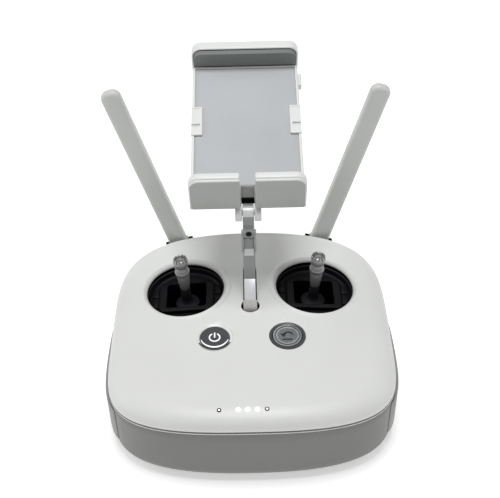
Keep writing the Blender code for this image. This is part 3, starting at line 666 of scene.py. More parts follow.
@dataclass
class Housing:
    """Both case halves, the well bezels and the grip bands."""

    form: HousingForm
    well_x: float = 43.3
    well_y: float = 18.5
    well_z: float = 57.0
    well_radius: float = 29.0
    well_lean: float = 1.5
    well_tilt: float = 4.0
    top_round: float = 13.0
    bottom_round: float = 12.0
    wall: float = 2.2
    seam_gap: float = 0.6
    button_x: float = 23.0
    button_y: float = -29.0
    button_hole: float = 11.65
    light_y: float = -86.0

    def well_place(self, side: Side) -> Matrix:
        """The frame of a stick well's rim."""
        spot = Vector((side.value * self.well_x, self.well_y, self.well_z)) * MM
        lean = Matrix.Rotation(math.radians(-self.well_lean), 4, "X")
        tilt = Matrix.Rotation(side.value * math.radians(self.well_tilt), 4, "Y")
        return Matrix.Translation(spot) @ tilt @ lean

    def build(self) -> None:
        """Make every piece of the housing."""
        self.upper_case()
        self.lower_case()
        for side in Side:
            self.well_bezel(side)
            self.grip_band(side)

    def upper_case(self) -> None:
        """The domed upper case with its wells, groove, button and light holes."""
        form, rings = self.form, []
        for lift in (0.0, 1.0):
            rings.append([(x, y, form.seam(x, y) + lift) for x, y in map(form.point, form.turns())])
        steps = 12
        for step in range(steps + 1):
            angle = math.radians(90 * step / steps)
            ring = []
            for turn in form.turns():
                rim_z = form.seam(*form.point(turn)) + 2.0
                x, y = form.point(turn, self.top_round * (1 - math.cos(angle)))
                ring.append((x, y, rim_z + (form.height(x, y) - rim_z) * math.sin(angle)))
            rings.append(ring)
        inner = 26
        for step in range(1, inner):
            share = 1 - step / inner
            ring = []
            for turn in form.turns():
                x, y = form.point(turn, self.top_round)
                x, y = x * share, form.middle_y + (y - form.middle_y) * share
                ring.append((x, y, form.height(x, y)))
            rings.append(ring)
        case = shell_wall(add_skin("upper_case", rings, Cap.POINT), self.wall)
        tools = [settle(add_rod("well", self.well_radius - 0.4, -25, 25, sides=96), self.well_place(side))
                 for side in Side]
        for side in Side:
            x = side.value * self.button_x
            tools.append(add_rod("button", self.button_hole, 40, 70, centre=(x, self.button_y, 0), sides=64))
        for x in LightRow().places() + [LightRow().status_x]:
            tools.append(add_rod("light", 1.35, 40, 70, centre=(x, self.light_y, 0), sides=24))
        tools.append(add_plate("groove", ArmPocket().outline(6.1, 4.5), 35, 70))
        combine(case, tools, "DIFFERENCE", solver="MANIFOLD")
        publish(case, Finishes.WHITE, "housing", "top_shell", angle=32)

    def antenna_room(self, side: Side) -> bpy.types.Object:
        """The opening that an antenna's bracket stands in."""
        room = add_box("room", (-10.6, -14.4, -7.4), (10.6, 21, 3.6))
        return settle(room, Antenna(side).place())

    def well_bezel(self, side: Side) -> None:
        """The raised bright lip round a stick well."""
        outer = self.well_radius + 0.9
        profile = [(25.9, -2.4), (25.95, -1.4), (26.4, -0.6), (27.2, 0.1)] + \
            arc(28.3, 0.0, 0.8, 130, 60, 6) + \
            [(29.6, 0.6), (outer + 0.6, 0.2), (outer + 1.3, -0.5), (outer + 1.3, -6.8), (27.3, -6.8),
             (27.3, -2.4)]
        bezel = settle(add_lathe(side.word + "_well_bezel", profile, 112), self.well_place(side))
        publish(bezel, Finishes.WHITE, "housing", angle=50)

    def lower_case(self) -> None:
        """The lower case: straight walls, a rounded foot and a flat underside, its white darkened as painted
        shade.
        """
        form = self.form
        steps, rings = 10, []
        for inset, drop in ((0.9, 0.0), (0.3, 0.25), (0.0, 0.9)):
            ring = []
            for turn in form.turns():
                x, y = form.point(turn, inset)
                ring.append((x, y, form.seam(x, y) - self.seam_gap - drop))
            rings.append(ring)
        for height in (38.0, 30.0, 21.0):
            rings.append([(*form.point(turn), height) for turn in form.turns()])
        for step in range(steps + 1):
            angle = math.radians(90 * step / steps)
            inset = self.bottom_round * (1 - math.cos(angle))
            height = self.bottom_round * (1 - math.sin(angle))
            rings.append([(*form.point(turn, inset), height) for turn in form.turns()])
        case = shell_wall(add_skin("lower_case", rings, Cap.FLAT), self.wall)
        cut(case, *self.lower_tools())
        publish(case, Finishes.LOWER, "housing", "lower_shell", angle=32)
        self.seam_bead()

    def seam_bead(self) -> None:
        """The raised edge that runs round the case just under the seam, made brighter as a painted highlight.
        """
        form, rings = self.form, []
        for inset, drop in ((1.5, 1.7), (-0.12, 1.5), (-0.2, 1.15), (0.1, 0.8), (1.5, 0.75)):
            ring = []
            for turn in form.turns():
                x, y = form.point(turn, inset)
                ring.append((x, y, form.seam(x, y) - self.seam_gap - drop))
            rings.append(ring)
        bead = add_skin("seam_bead", rings + rings[:1], Cap.OPEN)
        pick(bead)
        bpy.ops.object.mode_set(mode="EDIT")
        bpy.ops.mesh.select_all(action="SELECT")
        bpy.ops.mesh.remove_doubles(threshold=0.00002)
        bpy.ops.mesh.normals_make_consistent(inside=False)
        bpy.ops.object.mode_set(mode="OBJECT")
        publish(bead, Finishes.RIM, "housing", angle=40)

    def lower_tools(self) -> list[bpy.types.Object]:
        """Cutters for every port, screw and control in the lower case."""
        tools = [self.antenna_room(side) for side in Side]
        for screw in CaseScrews().places():
            tools.append(add_rod("screw", 3.2, -2, 5, centre=(*screw, 0), sides=32))
        for side in Side:
            tools.append(add_rod("rear", 5.4, -2, 5, centre=(side.value * 40.0, 30.0, 0), sides=40))
        for control in WALL_BUTTONS:
            tools.append(settle(add_rod("port", control.radius + 0.3, -9, 9, Axis.Y, sides=40),
                                control.place(self.form)))
        for dial in DIALS:
            tools.append(settle(add_box("port", (-8.6, -9, -3.6), (8.6, 9, 3.6)), dial.wall_place(self.form)))
        switch = ModeSwitch()
        tools.append(settle(add_box("port", (-10.3, -9, -2.7), (10.3, 9, 2.7)), switch.place(self.form)))
        for socket in SOCKETS:
            tools.append(socket.port(self.form))
        return tools

    def grip_band(self, side: Side) -> None:
        """A ribbed soft band that follows the side wall and stands proud of it."""
        low_y, high_y, count = -71.0, 2.0, 40
        outer, inner = [], []
        form = self.form
        for i in range(count + 1):
            y = low_y + (high_y - low_y) * i / count
            near = y <= form.middle_y
            length = form.near_length if near else form.far_length
            power = form.near_power if near else form.far_power
            share = 1 - (abs(y - form.middle_y) / length) ** power
            wall = form.half_width * share ** (1 / form.width_power)
            proud = 2.2 * math.sin(math.pi * i / count) ** 0.5
            outer.append((side.value * (wall + 0.45 + proud), y))
            inner.append((side.value * (wall + 0.15), y))
        name = side.word + "_grip_band"
        band = add_plate(name, outer + inner[::-1], 13.0, 41.0)
        round_edges(band, 1.1, 4, angle=40)
        publish(band, Finishes.GRIP, "housing", side.word + "_grip", angle=50)


@dataclass
class ArmPocket:
    """The round-ended groove that the arm stands in and folds back into."""

    near_y: float = -1.9
    far_y: float = 36.0

    def outline(self, radius: float, half: float) -> list[Point2]:
        """The groove's plan: a round near end that narrows to a slot."""
        meet = math.degrees(math.asin(half / radius))
        return [(half, self.far_y), (-half, self.far_y)] + \
            arc(0, self.near_y, radius, 90 + meet, 450 - meet, 36)


@dataclass
class LightRow:
    """Four charge lights and one status light near the front edge."""

    first_x: float = -8.55
    pitch: float = 5.7
    status_x: float = -19.8
    y: float = -86.0
    lit: int = 3

    def places(self) -> list[float]:
        """X of each charge light."""
        return [self.first_x + self.pitch * i for i in range(4)]

    def build(self, form: HousingForm) -> None:
        """Fill each hole with a lit lens, or with a dark ring round a small glowing centre."""
        for i, x in enumerate(self.places() + [self.status_x]):
            place = Matrix.Translation(Vector((x, self.y, form.height(x, self.y))) * MM)
            name = f"charge_lens_{i + 1}" if i < 4 else "status_lens_dome"
            if i < self.lit:
                profile = [(0, 0.2), (0.7, 0.14), (1.2, -0.05), (1.3, -0.4), (1.3, -4), (0, -4)]
                publish(settle(add_lathe(name, profile, 40), place), Finishes.LIT, "housing", angle=60)
                continue
            ring = [(0.66, 0.02), (1.0, 0.16), (1.32, 0.1), (1.32, -3), (0.66, -3)]
            publish(settle(add_lathe(name + "_ring", ring, 40), place), Finishes.SCREW, "housing", angle=50)
            profile = [(0, 0.12), (0.45, 0.08), (0.64, -0.1), (0.64, -3), (0, -3)]
            publish(settle(add_lathe(name, profile, 32), place), Finishes.LIT, "housing", angle=60)


@dataclass
class CaseScrews:
    """The four screws that close the case from below."""

    x: float = 66.0
    near_y: float = -62.0
    far_y: float = 48.0

    def places(self) -> list[Point2]:
        """Plan places of the four screws."""
        return [(x, y) for x in (-self.x, self.x) for y in (self.near_y, self.far_y)]

    def build(self) -> None:
        """Make each screw with a rounded head and a six-sided socket."""
        for side in Side:
            for end, y in (("near", self.near_y), ("far", self.far_y)):
                profile = [(0, 8), (1.3, 8), (1.3, 2.4), (2.8, 2.4), (2.8, 1.2), (2.4, 0.6), (0, 0.6)]
                screw = add_lathe(f"closing_screw_{side.word}_{end}", profile, 40)
                cut(screw, add_rod("hex", 1.3, -1, 1.9, sides=6))
                settle(screw, Matrix.Translation(Vector((side.value * self.x, y, 0)) * MM))
                publish(screw, Finishes.STEEL, "housing", f"case_screw_{side.word}_{end}")


# ---------------------------------------------------------------- stick wells
@dataclass
class StickWell:
    """One stick with its bowl, saddle, boot and turned end."""

    side: Side
    housing: Housing
    foot: float = 26.3

    def place(self) -> Matrix:
        """The gimbal's frame, on both of its axes."""
        turn = Matrix.Rotation(self.side.value * math.radians(self.housing.well_tilt), 4, "Y")
        return joint_place(self.side.word + "_stick_forward", turn)

    def build(self) -> None:
        """Make every piece of the well."""
        self.bowl()
        self.saddle()
        self.boot()
        self.stick_end()

    def bowl(self) -> None:
        """The dark bowl: a stepped wall, a shallow floor and a raised plate round the window."""
        profile = [(0.0, -9.6), (23.4, -9.6), (24.6, -8.8), (25.2, -6.2), (25.3, -5.6), (26.3, -5.2),
                   (26.3, -0.9), (27.1, -0.9), (27.1, -6.0), (25.8, -10.6), (0.0, -10.6)]
        bowl = add_lathe(self.side.word + "_bowl", profile, 96)
        plate = round_edges(add_plate("plate", rounded_outline((-18.3, -14.5), (18.3, 12.0), (3.5,) * 4),
                                      -9.9, -6.5), 0.7, 3)
        weld(bowl, plate)
        for side in (-1, 1):
            for low_y, high_y in ((-9.0, 0.2), (1.0, 9.5)):
                low, high = sorted((side * 19.0, side * 23.2))
                weld(bowl, round_edges(add_box("ledge", (low, low_y, -9.9), (high, high_y, -8.0)), 0.4, 2))
        window = rounded_outline((-13.4, -11.3), (13.4, 11.3), (1.5,) * 4)
        cut(bowl, add_plate("window", window, -20, -4))
        settle(bowl, self.housing.well_place(self.side))
        publish(bowl, Finishes.BLACK, "housing", self.side.word + "_gimbal_cup", angle=30)

    def saddle(self) -> None:
        """The domed yoke on its trunnions, with the slot that the stick leans in."""
        clear_selection()
        bpy.ops.mesh.primitive_uv_sphere_add(segments=64, ring_count=32, radius=13.0 * MM)
        yoke = new_active(self.side.word + "_saddle")
        cut(yoke, add_box("flat_a", (-20, -20, -20), (-12, 20, 20)),
            add_box("flat_b", (12, -20, -20), (20, 20, 20)))
        weld(yoke, add_rod("trunnion", 2.2, -17.5, 17.5, Axis.X, sides=32))
        cut(yoke, add_plate("slot", rounded_outline((-10.5, -3.3), (10.5, 3.3), (3, 3, 3, 3)), -20, 20),
            add_rod("bore", 1.9, -20, 20, Axis.Y, sides=24))
        settle(yoke, self.place())
        publish(yoke, Finishes.BLACK, self.side.word + "_yoke", self.side.word + "_gimbal_yoke", angle=30)

    def boot(self) -> None:
        """The soft skirt that rides over the slot, with two bellows folds."""
        skirt = [(14.7 * math.sin(math.radians(a)), 14.7 * math.cos(math.radians(a)))
                 for a in (20, 24, 29, 33)]
        under = [(13.5 * math.sin(math.radians(a)), 13.5 * math.cos(math.radians(a))) for a in (33, 24, 15)]
        folds = [(2.9, 25.9), (3.2, 25.5), (3.4, 24.6), (2.9, 23.8), (3.4, 22.9), (3.0, 22.0), (3.5, 21.0),
                 (3.3, 19.0), (3.3, 15.8), (4.2, 14.6)]
        boot = add_lathe(self.side.word + "_boot", folds + skirt + under + [(2.6, 13.2), (2.6, 25.9)], 64)
        settle(boot, self.place())
        publish(boot, Finishes.BLACK_SOFT, self.side.word + "_stick", self.side.word + "_stick_boot",
                angle=40)

    def stick_end(self) -> None:
        """The turned end: tapered foot, two bright collars, waist and a crown of teeth."""
        z = self.foot
        outer = [(0.0, z + 24.2), (1.6, z + 24.2), (2.7, z + 25.0), (3.0, z + 26.3), (3.6, z + 26.7),
                 (4.3, z + 26.3), (4.6, z + 25.4), (4.7, z + 24.4), (4.85, z + 23.9), (4.8, z + 23.3),
                 (4.3, z + 22.7), (4.25, z + 20.0), (4.1, z + 19.7), (4.25, z + 19.4), (4.25, z + 16.4),
                 (4.6, z + 15.9), (4.85, z + 15.3), (4.85, z + 14.6), (4.6, z + 14.0), (4.45, z + 13.3),
                 (4.4, z + 11.9), (4.2, z + 11.6), (4.3, z + 11.2), (3.4, z + 2.2), (3.1, z + 0.3),
                 (2.9, z), (2.7, z), (2.7, z + 5.0), (0.0, z + 5.0)]
        stick = add_lathe(self.side.word + "_stick_end", outer, 72)
        for tooth in range(6):
            notch = add_box("notch", (-6.5, -0.5, z + 24.7), (6.5, 0.5, z + 30.0))
            settle(notch, Matrix.Rotation(math.pi * tooth / 6, 4, "Z"))
            cut(stick, notch)
        settle(stick, self.place())
        publish(stick, Finishes.SILVER, self.side.word + "_stick", self.side.word + "_stick_cap", angle=28)
        centre = add_lathe(self.side.word + "_stick_tip", [(0, z + 26.2), (0.9, z + 26.0), (1.3, z + 25.3),
                                                           (1.3, z + 24.1), (0, z + 24.1)], 32)
        settle(centre, self.place())
        publish(centre, Finishes.STEEL, self.side.word + "_stick", angle=40)


# ---------------------------------------------------------------- top buttons
class ButtonKind(Enum):
    """The two push buttons on the top face."""

    POWER = "power"
    RETURN = "return"


@dataclass
class TopButton:
    """A round push button with its ring and its sign."""

    kind: ButtonKind
    housing: Housing

    def place(self) -> Matrix:
        """The button's frame, on the top face and square to it."""
        side = -1 if self.kind is ButtonKind.POWER else 1
        x, y = side * self.housing.button_x, self.housing.button_y
        return Matrix.Translation(Vector((x, y, self.housing.form.height(x, y))) * MM)

    def build(self) -> None:
        """Make the ring, the cap and the sign."""
        if self.kind is ButtonKind.POWER:
            self.power()
        else:
            self.go_home()

    def part(self, word: str, profile: list[Point2], finish: Finish, body: str, *nodes: str) -> None:
        """Turn one part of the button and publish it."""
        made = settle(add_lathe(f"{self.kind.value}_{word}", profile, 96), self.place())
        publish(made, finish, body, *nodes, angle=40)

    def power(self) -> None:
        """A dark cap in a dished ring of brighter white as a painted highlight, with a painted highlight
        crescent along the cap's near edge and a painted shade crescent on the ring's near side.
        """
        body = "power_button"
        self.part("ring", [(9.65, -4), (9.65, -0.5), (10.1, -0.25), (10.9, 0.1), (11.4, 0.35), (11.6, 0.1),
                           (11.6, -4)], Finishes.RIM, "housing", "power_bezel")
        self.part("cap", [(0, 0.25), (5, 0.35), (8.2, 0.6), (8.9, 0.5), (9.25, 0.1), (9.35, -0.5),
                          (9.35, -4.4), (0, -4.4)], Finishes.BUTTON, body, "power_button")
        # Painted highlight: a glowing white crescent along the near edge of the cap.
        crescent = arc(0, 0, 9.1, 196, 344, 40) + arc(0, 0.95, 9.0, 338, 202, 40)
        glow = add_plate("power_glow", crescent, -0.2, 0.62)
        publish(settle(glow, self.place()), Finishes.SIGN_WHITE, body)
        # Painted shade: a dark crescent on the near side of the ring.
        shade = add_plate("power_shade", arc(0, 0, 11.2, 205, 335, 40) + arc(0, 0.75, 10.6, 331, 209, 40),
                          -0.3, 0.34)
        publish(settle(shade, self.place()), Finishes.BUTTON, "housing")
        bow = add_plate("power_sign_bow", arc(0, -0.4, 3.7, 118, 422, 36) + arc(0, -0.4, 2.85, 422, 118, 36),
                        0.2, 0.5)
        publish(settle(bow, self.place()), Finishes.SIGN_WHITE, body)
        stroke = rounded_outline((-0.42, -0.6), (0.42, 3.7), (0.4,) * 4, 4)
        bar = add_plate("power_sign_bar", stroke, 0.2, 0.5)
        publish(settle(bar, self.place()), Finishes.SIGN_WHITE, body)

    def go_home(self) -> None:
        """A grey cap inside a bright thin ring and a dark dished collar."""
        body = "return_button"
        self.part("ring", [(9.65, -4), (9.65, -0.1), (10.0, 0.15), (10.9, 0.3), (11.4, 0.3), (11.6, 0.0),
                           (11.6, -4)], Finishes.BUTTON, "housing", "return_bezel")
        self.part("cap", [(0, 0.15), (6.6, 0.3), (7.3, 0.25), (7.5, -0.35), (8.1, -0.35), (8.3, 0.2),
                          (9.0, 0.2), (9.3, -0.3), (9.35, -4.4), (0, -4.4)], Finishes.RETURN, body,
                  "return_button")
        self.part("bright_ring", [(8.2, 0.0), (8.35, 0.46), (8.95, 0.42), (9.15, 0.0)], Finishes.BRIGHT, body)
        self.part("inner_ring", [(6.4, 0.2), (6.55, 0.5), (7.1, 0.5), (7.3, 0.1)], Finishes.BRIGHT, body)
        for word, outline in self.home_sign().items():
            sign = settle(add_plate(f"return_sign_{word}", outline, 0.1, 0.48), self.place())
            publish(sign, Finishes.SIGN_DARK, body)

    def home_sign(self) -> dict[str, list[Point2]]:
        """A generic turn-back arrow over a short bar."""
        tail = arc(0.5, 0.0, 3.3, 15, 158, 18) + arc(0.5, 0.0, 2.4, 158, 15, 18)
        head = [(-4.4, 1.6), (-2.5, -1.3), (-0.9, 1.5)]
        bar = rounded_outline((-3.2, -3.7), (3.2, -2.8), (0.4,) * 4, 3)
        return {"tail": tail, "head": head, "bar": bar}


# ------------------------------------------------------------------------ arm
@dataclass
class FoldingArm:
    """The two castings that hold the clamp up, and the screw between them."""

    pivot_y: float = 0.0
    pivot_z: float = 50.0
    tilt_y: float = 22.0
    tilt_z: float = 118.5
    body: str = "arm"

    def build(self) -> None:
        """Make the castings and the screw."""
        self.foot()
        self.head()
        self.screw()

    def foot(self) -> None:
        """The lower casting: a rounded tongue, a facet and a straight post, with thin plates laid on as
        painted light where faces turn up.
        """
        foot = arc(self.pivot_y, self.pivot_z, 5.4, 200, 340, 16)
        post = foot + [(5.6, 56), (9.5, 66.5), (16.5, 77), (19.6, 90), (20.4, 91.2), (11.9, 91.2),
                       (11.5, 88.5), (8.4, 76), (7.4, 74.6), (-3.4, 66), (-5.6, 58)]
        arm = add_plate("arm_post", post, -3.8, 3.8, Axis.X)
        tang = add_plate("tang", [(12.6, 90.5), (20.0, 90.5), (21.8, 102.5), (15.6, 102.5), (14.3, 94.8),
                                  (11.9, 90.9)], -3.15, 3.15, Axis.X)
        round_edges(arm, 1.0, 4)
        weld(arm, round_edges(tang, 0.4, 2))
        cut(arm, add_rod("bore", 2.1, -10, 10, Axis.X, (0, self.pivot_y, self.pivot_z), 32))
        publish(arm, Finishes.CASTING, self.body, "lower_arm", angle=30)
        self.facet("arm_face", Vector((0, -3.4, 66)), Vector((0, 7.4, 74.6)), 3.62, 0.9)
        self.facet("arm_tongue", Vector((0, -5.65, 57.2)), Vector((0, -3.4, 66.0)), 4.4, 3.4)
        self.facet("arm_step", Vector((0, 11.9, 90.9)), Vector((0, 14.3, 94.8)), 3.15, 0.4)

    def facet(self, name: str, low: Vector, high: Vector, half: float, corner: float) -> None:
        """Lay a thin plate of painted light on the casting between two points of its profile, where the face
        turns up to the light.
        """
        length = (high - low).length
        outline = rounded_outline((-half, 0.0), (half, length), (0.5, 0.5, corner, corner), 8)
        plate = round_edges(add_plate(name, outline, -0.35, 0.2, Axis.Y), 0.12, 2)
        slope = math.atan2(high.y - low.y, high.z - low.z)
        settle(plate, Matrix.Translation(low * MM) @ Matrix.Rotation(-slope, 4, "X"))
        publish(plate, Finishes.TONGUE if name == "arm_tongue" else Finishes.BRIGHT_FACE, self.body, angle=40)

    def head(self) -> None:
        """The upper casting: two cheeks, a web with the screw, a neck and the tilt knuckle."""
        neck = [(14.9, 103.2), (22.6, 103.2), (26.0, 111.0), (27.2, 117.0)] + \
            arc(self.tilt_y, self.tilt_z, 5.3, 0, 180, 24) + [(16.9, 116.5), (17.2, 112.6), (15.2, 109.6)]
        head = round_edges(add_plate("arm_head", neck, -3.6, 3.6, Axis.X), 0.7, 3)
        for low, high in ((3.3, 4.7), (-4.7, -3.3)):
            cheek = [(12.9, 93.2), (19.8, 93.2), (22.0, 95.0), (23.4, 101.5), (22.2, 104.6),
                     (17.2, 108.2), (14.8, 106.5), (12.2, 95.0)]
            weld(head, round_edges(add_plate("cheek", cheek, low, high, Axis.X), 0.35, 2))
        cut(head, add_rod("bore", 2.1, -10, 10, Axis.X, (0, self.tilt_y, self.tilt_z), 32),
            add_rod("recess", 2.1, -8, 4.2, Axis.Y, (0, 14.9, 106.4), 32))
        publish(head, Finishes.CASTING, self.body, "upper_arm", angle=30)
        # Painted highlight: a bright band over the top of the tilt knuckle.
        band = arc(self.tilt_y, self.tilt_z, 5.45, 170, 10, 24) + \
            arc(self.tilt_y, self.tilt_z, 5.0, 10, 170, 24)
        publish(add_plate("knuckle_face", band, -3.4, 3.4, Axis.X), Finishes.BRIGHT_FACE, self.body, angle=40)

    def screw(self) -> None:
        """The black screw that joins the castings, with its six-sided socket."""
        screw = add_rod("arm_joint_screw", 1.75, 0.5, 3.9, Axis.Y, (0, 14.9, 106.4), 40)
        round_edges(screw, 0.25, 2)
        cut(screw, add_rod("hex", 0.85, -1, 2.0, Axis.Y, (0, 14.9, 106.4), 6))
        publish(screw, Finishes.SCREW, self.body, "arm_screw")


# ---------------------------------------------------------------------- clamp
@dataclass
class DeviceClamp:
    """The tilting tray with its split lip, sliding jaw, side tabs and release slider."""

    pitch: float = 13.0
    half: float = 35.3
    length: float = 108.5
    lip_inner: float = 4.7
    lip_outer: float = 36.4
    lip_bottom: float = 5.9
    lip_top: float = 34.0
    lip_corner: float = 7.0
    body: str = "holder"

    def place(self) -> Matrix:
        """The clamp's own frame: Y along the tray and Z square to it."""
        return joint_place("holder_tilt", Matrix.Rotation(math.radians(self.pitch), 4, "X"))

    def build(self) -> None:
        """Make every piece of the clamp."""
        self.tray()
        self.mat()
        for side in Side:
            self.lip(side)
            self.side_tab(side)
        self.jaw()
        self.release()

    def tray(self) -> None:
        """The tray, with its bed, jaw channel, lugs and the block between the lips, greyed as painted shade,
        over a black filler that is painted shadow.
        """
        tray = round_edges(add_box("clamp_tray", (-self.half, 5.5, 12.0), (self.half, self.length, 21.4)),
                           1.4, 4)
        cut(tray, add_plate("bed", rounded_outline((-33.5, -4), (33.5, 106.5), (0.9, 0.9, 0, 0)), 19.6, 30),
            add_box("channel", (-28.2, 38, 13.8), (28.2, 120, 17.8)),
            add_box("pocket", (32.0, 91.7, 13.3), (40, 102.8, 18.9)))
        for side in (-1, 1):
            low, high = sorted((side * 28.0, side * 40))
            cut(tray, add_box("seat", (low, 46.3, 20.2), (high, 71.0, 30)))
            low, high = sorted((side * 4.0, side * 8.3))
            lug = arc(0, 0, 5.5, 180, 360, 24) + [(8.5, 7.0), (12.0, 13.0), (5.6, 13.0), (5.6, 5.5),
                                                  (-1.0, 5.4), (-4.2, 3.6)]
            weld(tray, round_edges(add_plate("lug", lug, low, high, Axis.X), 0.5, 2))
        weld(tray, add_box("tongue", (-4.1, 5.4, 9.4), (4.1, 14.0, 19.6)))
        cut(tray, add_rod("bore", 2.1, -12, 12, Axis.X, sides=32))
        self.lighten_underside(tray)
        settle(tray, self.place())
        publish(tray, Finishes.TRAY, self.body, "clamp_base", angle=30)
        block = round_edges(add_box("hinge_block", (-3.95, 4.7, 9.3), (3.95, 6.2, 20.6)), 0.3, 2)
        publish(settle(block, self.place()), Finishes.BLOCK, self.body, angle=40)
        # Painted shadow: a black filler behind the slit under the hinge block, standing in for the shade in
        # that gap.
        root = add_box("hinge_root", (-4.05, 7.2, 5.6), (4.05, 13.8, 9.6))
        weld(root, add_box("hinge_fill", (-4.05, 5.8, 1.5), (4.05, 7.4, 9.4)))
        publish(settle(root, self.place()), Finishes.BLACK, self.body, angle=40)

    def lighten_underside(self, tray: bpy.types.Object) -> None:
        """Shallow moulded recesses in the underside."""
        for low_y, high_y in ((18, 44), (50, 76), (82, 103)):
            for side in (-1, 1):
                low, high = sorted((side * 3.0, side * 31.0))
                outline = rounded_outline((low, low_y), (high, high_y), (3,) * 4, 4)
                if high_y < 100:
                    cut(tray, add_plate("recess", outline, 10, 12.7))

    def mat(self) -> None:
        """The grey rubber mat, notched round the side tabs."""
        mat = add_plate("clamp_mat", rounded_outline((-33.2, 5.8), (33.2, 106.2), (0.7, 0.7, 0.5, 0.5)),
                        19.7, 20.5)
        round_edges(mat, 0.2, 2)
        for side in (-1, 1):
            low, high = sorted((side * 28.0, side * 40))
            cut(mat, add_box("notch", (low, 46.3, 15), (high, 71.0, 25)))
        settle(mat, self.place())
        publish(mat, Finishes.PAD, self.body, "clamp_pad", angle=40)

    def lip(self, side: Side) -> None:
        """Half of the lower lip: a white bar, a dark parting groove and a framed front panel greyed as
        painted shade.
        """
        bar = round_edges(self.lip_plate(side, 0.0, 0.1, 5.2), 1.5, 4)
        weld(bar, self.lip_plate(side, 0.9, -0.7, 0.8),
             round_edges(self.lip_plate(side, 0.15, -1.6, -0.35), 0.45, 3))
        cut(bar, self.lip_plate(side, 1.2, -3.0, -1.0, 1.5))
        bar.name = side.word + "_lip"
        settle(bar, self.place())
        publish(bar, Finishes.TRAY, self.body, side.word + "_wing", angle=30)
        panel = round_edges(self.lip_plate(side, 1.3, -1.5, -0.8, 1.1), 0.15, 2)
        panel.name = side.word + "_lip_panel"
        publish(settle(panel, self.place()), Finishes.PANEL, self.body, angle=30)

    def lip_plate(self, side: Side, inset: float, low: float, high: float,
                  back: float = 0.0) -> bpy.types.Object:
        """A slice of the lip's outline, from low to high along the tray.

        Args:
            side: Which half of the lip.
            inset: How far every edge is drawn in.
            low: Start of the slice.
            high: End of the slice.
            back: How far the inner and bottom edges are let out again.

        Returns:
            The slice.
        """
        corner = self.lip_corner - inset
        outline = rounded_outline((self.lip_inner + inset - back, self.lip_bottom + inset - back),
                                  (self.lip_outer - inset, self.lip_top - inset), (corner, 0, 0, 1.2), 12)
        return add_plate("slice", [(side.value * x, z) for x, z in outline], low, high, Axis.Y)

    def side_tab(self, side: Side) -> None:
        """A framed tab at mid-length that keeps a phone from sliding sideways."""
        low, high = sorted((side.value * 28.3, side.value * 35.5))
        tab = round_edges(add_box(side.word + "_guard_tab", (low, 46.6, 20.5), (high, 70.7, 22.0)), 0.35, 3)
        low, high = sorted((side.value * 29.8, side.value * 40))
        cut(tab, add_box("groove", (low, 54.5, 20.8), (high, 55.9, 26)))
        for low_y, high_y in ((48.0, 54.0), (56.4, 69.3)):
            cut(tab, add_box("sunk", (low, low_y, 21.75), (high, high_y, 26)))
        settle(tab, self.place())
        publish(tab, Finishes.TRAY, self.body, side.word + "_side_tab", angle=30)

    def jaw(self) -> None:
        """The sliding jaw: a rounded bar, its tongue in the tray and a thick dark ribbed pad."""
        corner, half, top, bottom = 7.0, 36.0, 34.0, 12.2
        face = rounded_outline((-half, bottom), (half, top), (corner, corner, 1.0, 1.0), 12)
        jaw = round_edges(add_plate("sliding_jaw", face, 111.7, 118.8, Axis.Y), 2.2, 6)
        weld(jaw, add_box("tongue", (-27.8, 44, 14.2), (27.8, 113.0, 17.4)))
        settle(jaw, self.place())
        publish(jaw, Finishes.TRAY, "jaw", "top_jaw", angle=30)
        pad = add_plate("jaw_facing", rounded_outline((-34.2, 22.0), (34.2, 33.0), (5.0, 5.0, 0.4, 0.4), 10),
                        107.4, 111.3, Axis.Y)
        publish(settle(round_edges(pad, 0.35, 3), self.place()), Finishes.FACING, "jaw", "jaw_pad", angle=40)
        gasket = rounded_outline((-half + 1.3, bottom + 1.3), (half - 1.3, top - 0.9),
                                 (5.8, 5.8, 1.0, 1.0), 12)
        gasket = settle(add_plate("jaw_gasket", gasket, 111.0, 112.6, Axis.Y), self.place())
        publish(gasket, Finishes.BLACK_SOFT, "jaw", angle=40)

    def release(self) -> None:
        """The ribbed release slider on the tray's right edge."""
        slider = round_edges(add_box("release_slider", (33.9, 92, 13.6), (37.6, 102.5, 18.6)), 0.5, 3)
        for i in range(4):
            low = 93.5 + 2.2 * i
            cut(slider, add_box("rib", (37.0, low, 12), (39, low + 0.9, 20)))
        settle(slider, self.place())
        publish(slider, Finishes.TRAY, "release", "release_button", angle=30)


# ------------------------------------------------------------------- antennas
@dataclass
class Antenna:
    """A paddle antenna on a fold hinge at the case's far corner."""

    side: Side
    splay: float = 16.0
    length: float = 138.8
    width: float = 13.5
    thick: float = 7.0

    def place(self) -> Matrix:
        """The antenna's frame on its hinge, Z along the blade."""
        turn = Matrix.Rotation(self.side.value * math.radians(self.splay), 4, "Y")
        return joint_place(self.side.word + "_antenna_fold", turn)

    def build(self) -> None:
        """Make the blade with its root."""
        half = self.width / 2
        outline = rounded_outline((-half, 0.0), (half, self.length), (5.6, 5.6, 0, 0), 12)
        blade = add_plate(self.side.word + "_paddle", outline, -self.thick / 2, self.thick / 2, Axis.Y)
        round_edges(blade, 2.6, 6, angle=45)
        root = round_edges(add_rod("root", 5.6, -half, half, Axis.X, sides=64), 0.5, 2)
        weld(blade, root)
        cut(blade, add_rod("bore", 1.8, -20, 20, Axis.X, sides=32))
        settle(blade, self.place())
        body = self.side.word + "_antenna"
        publish(blade, Finishes.ANTENNA, body, self.side.word + "_antenna", angle=28)


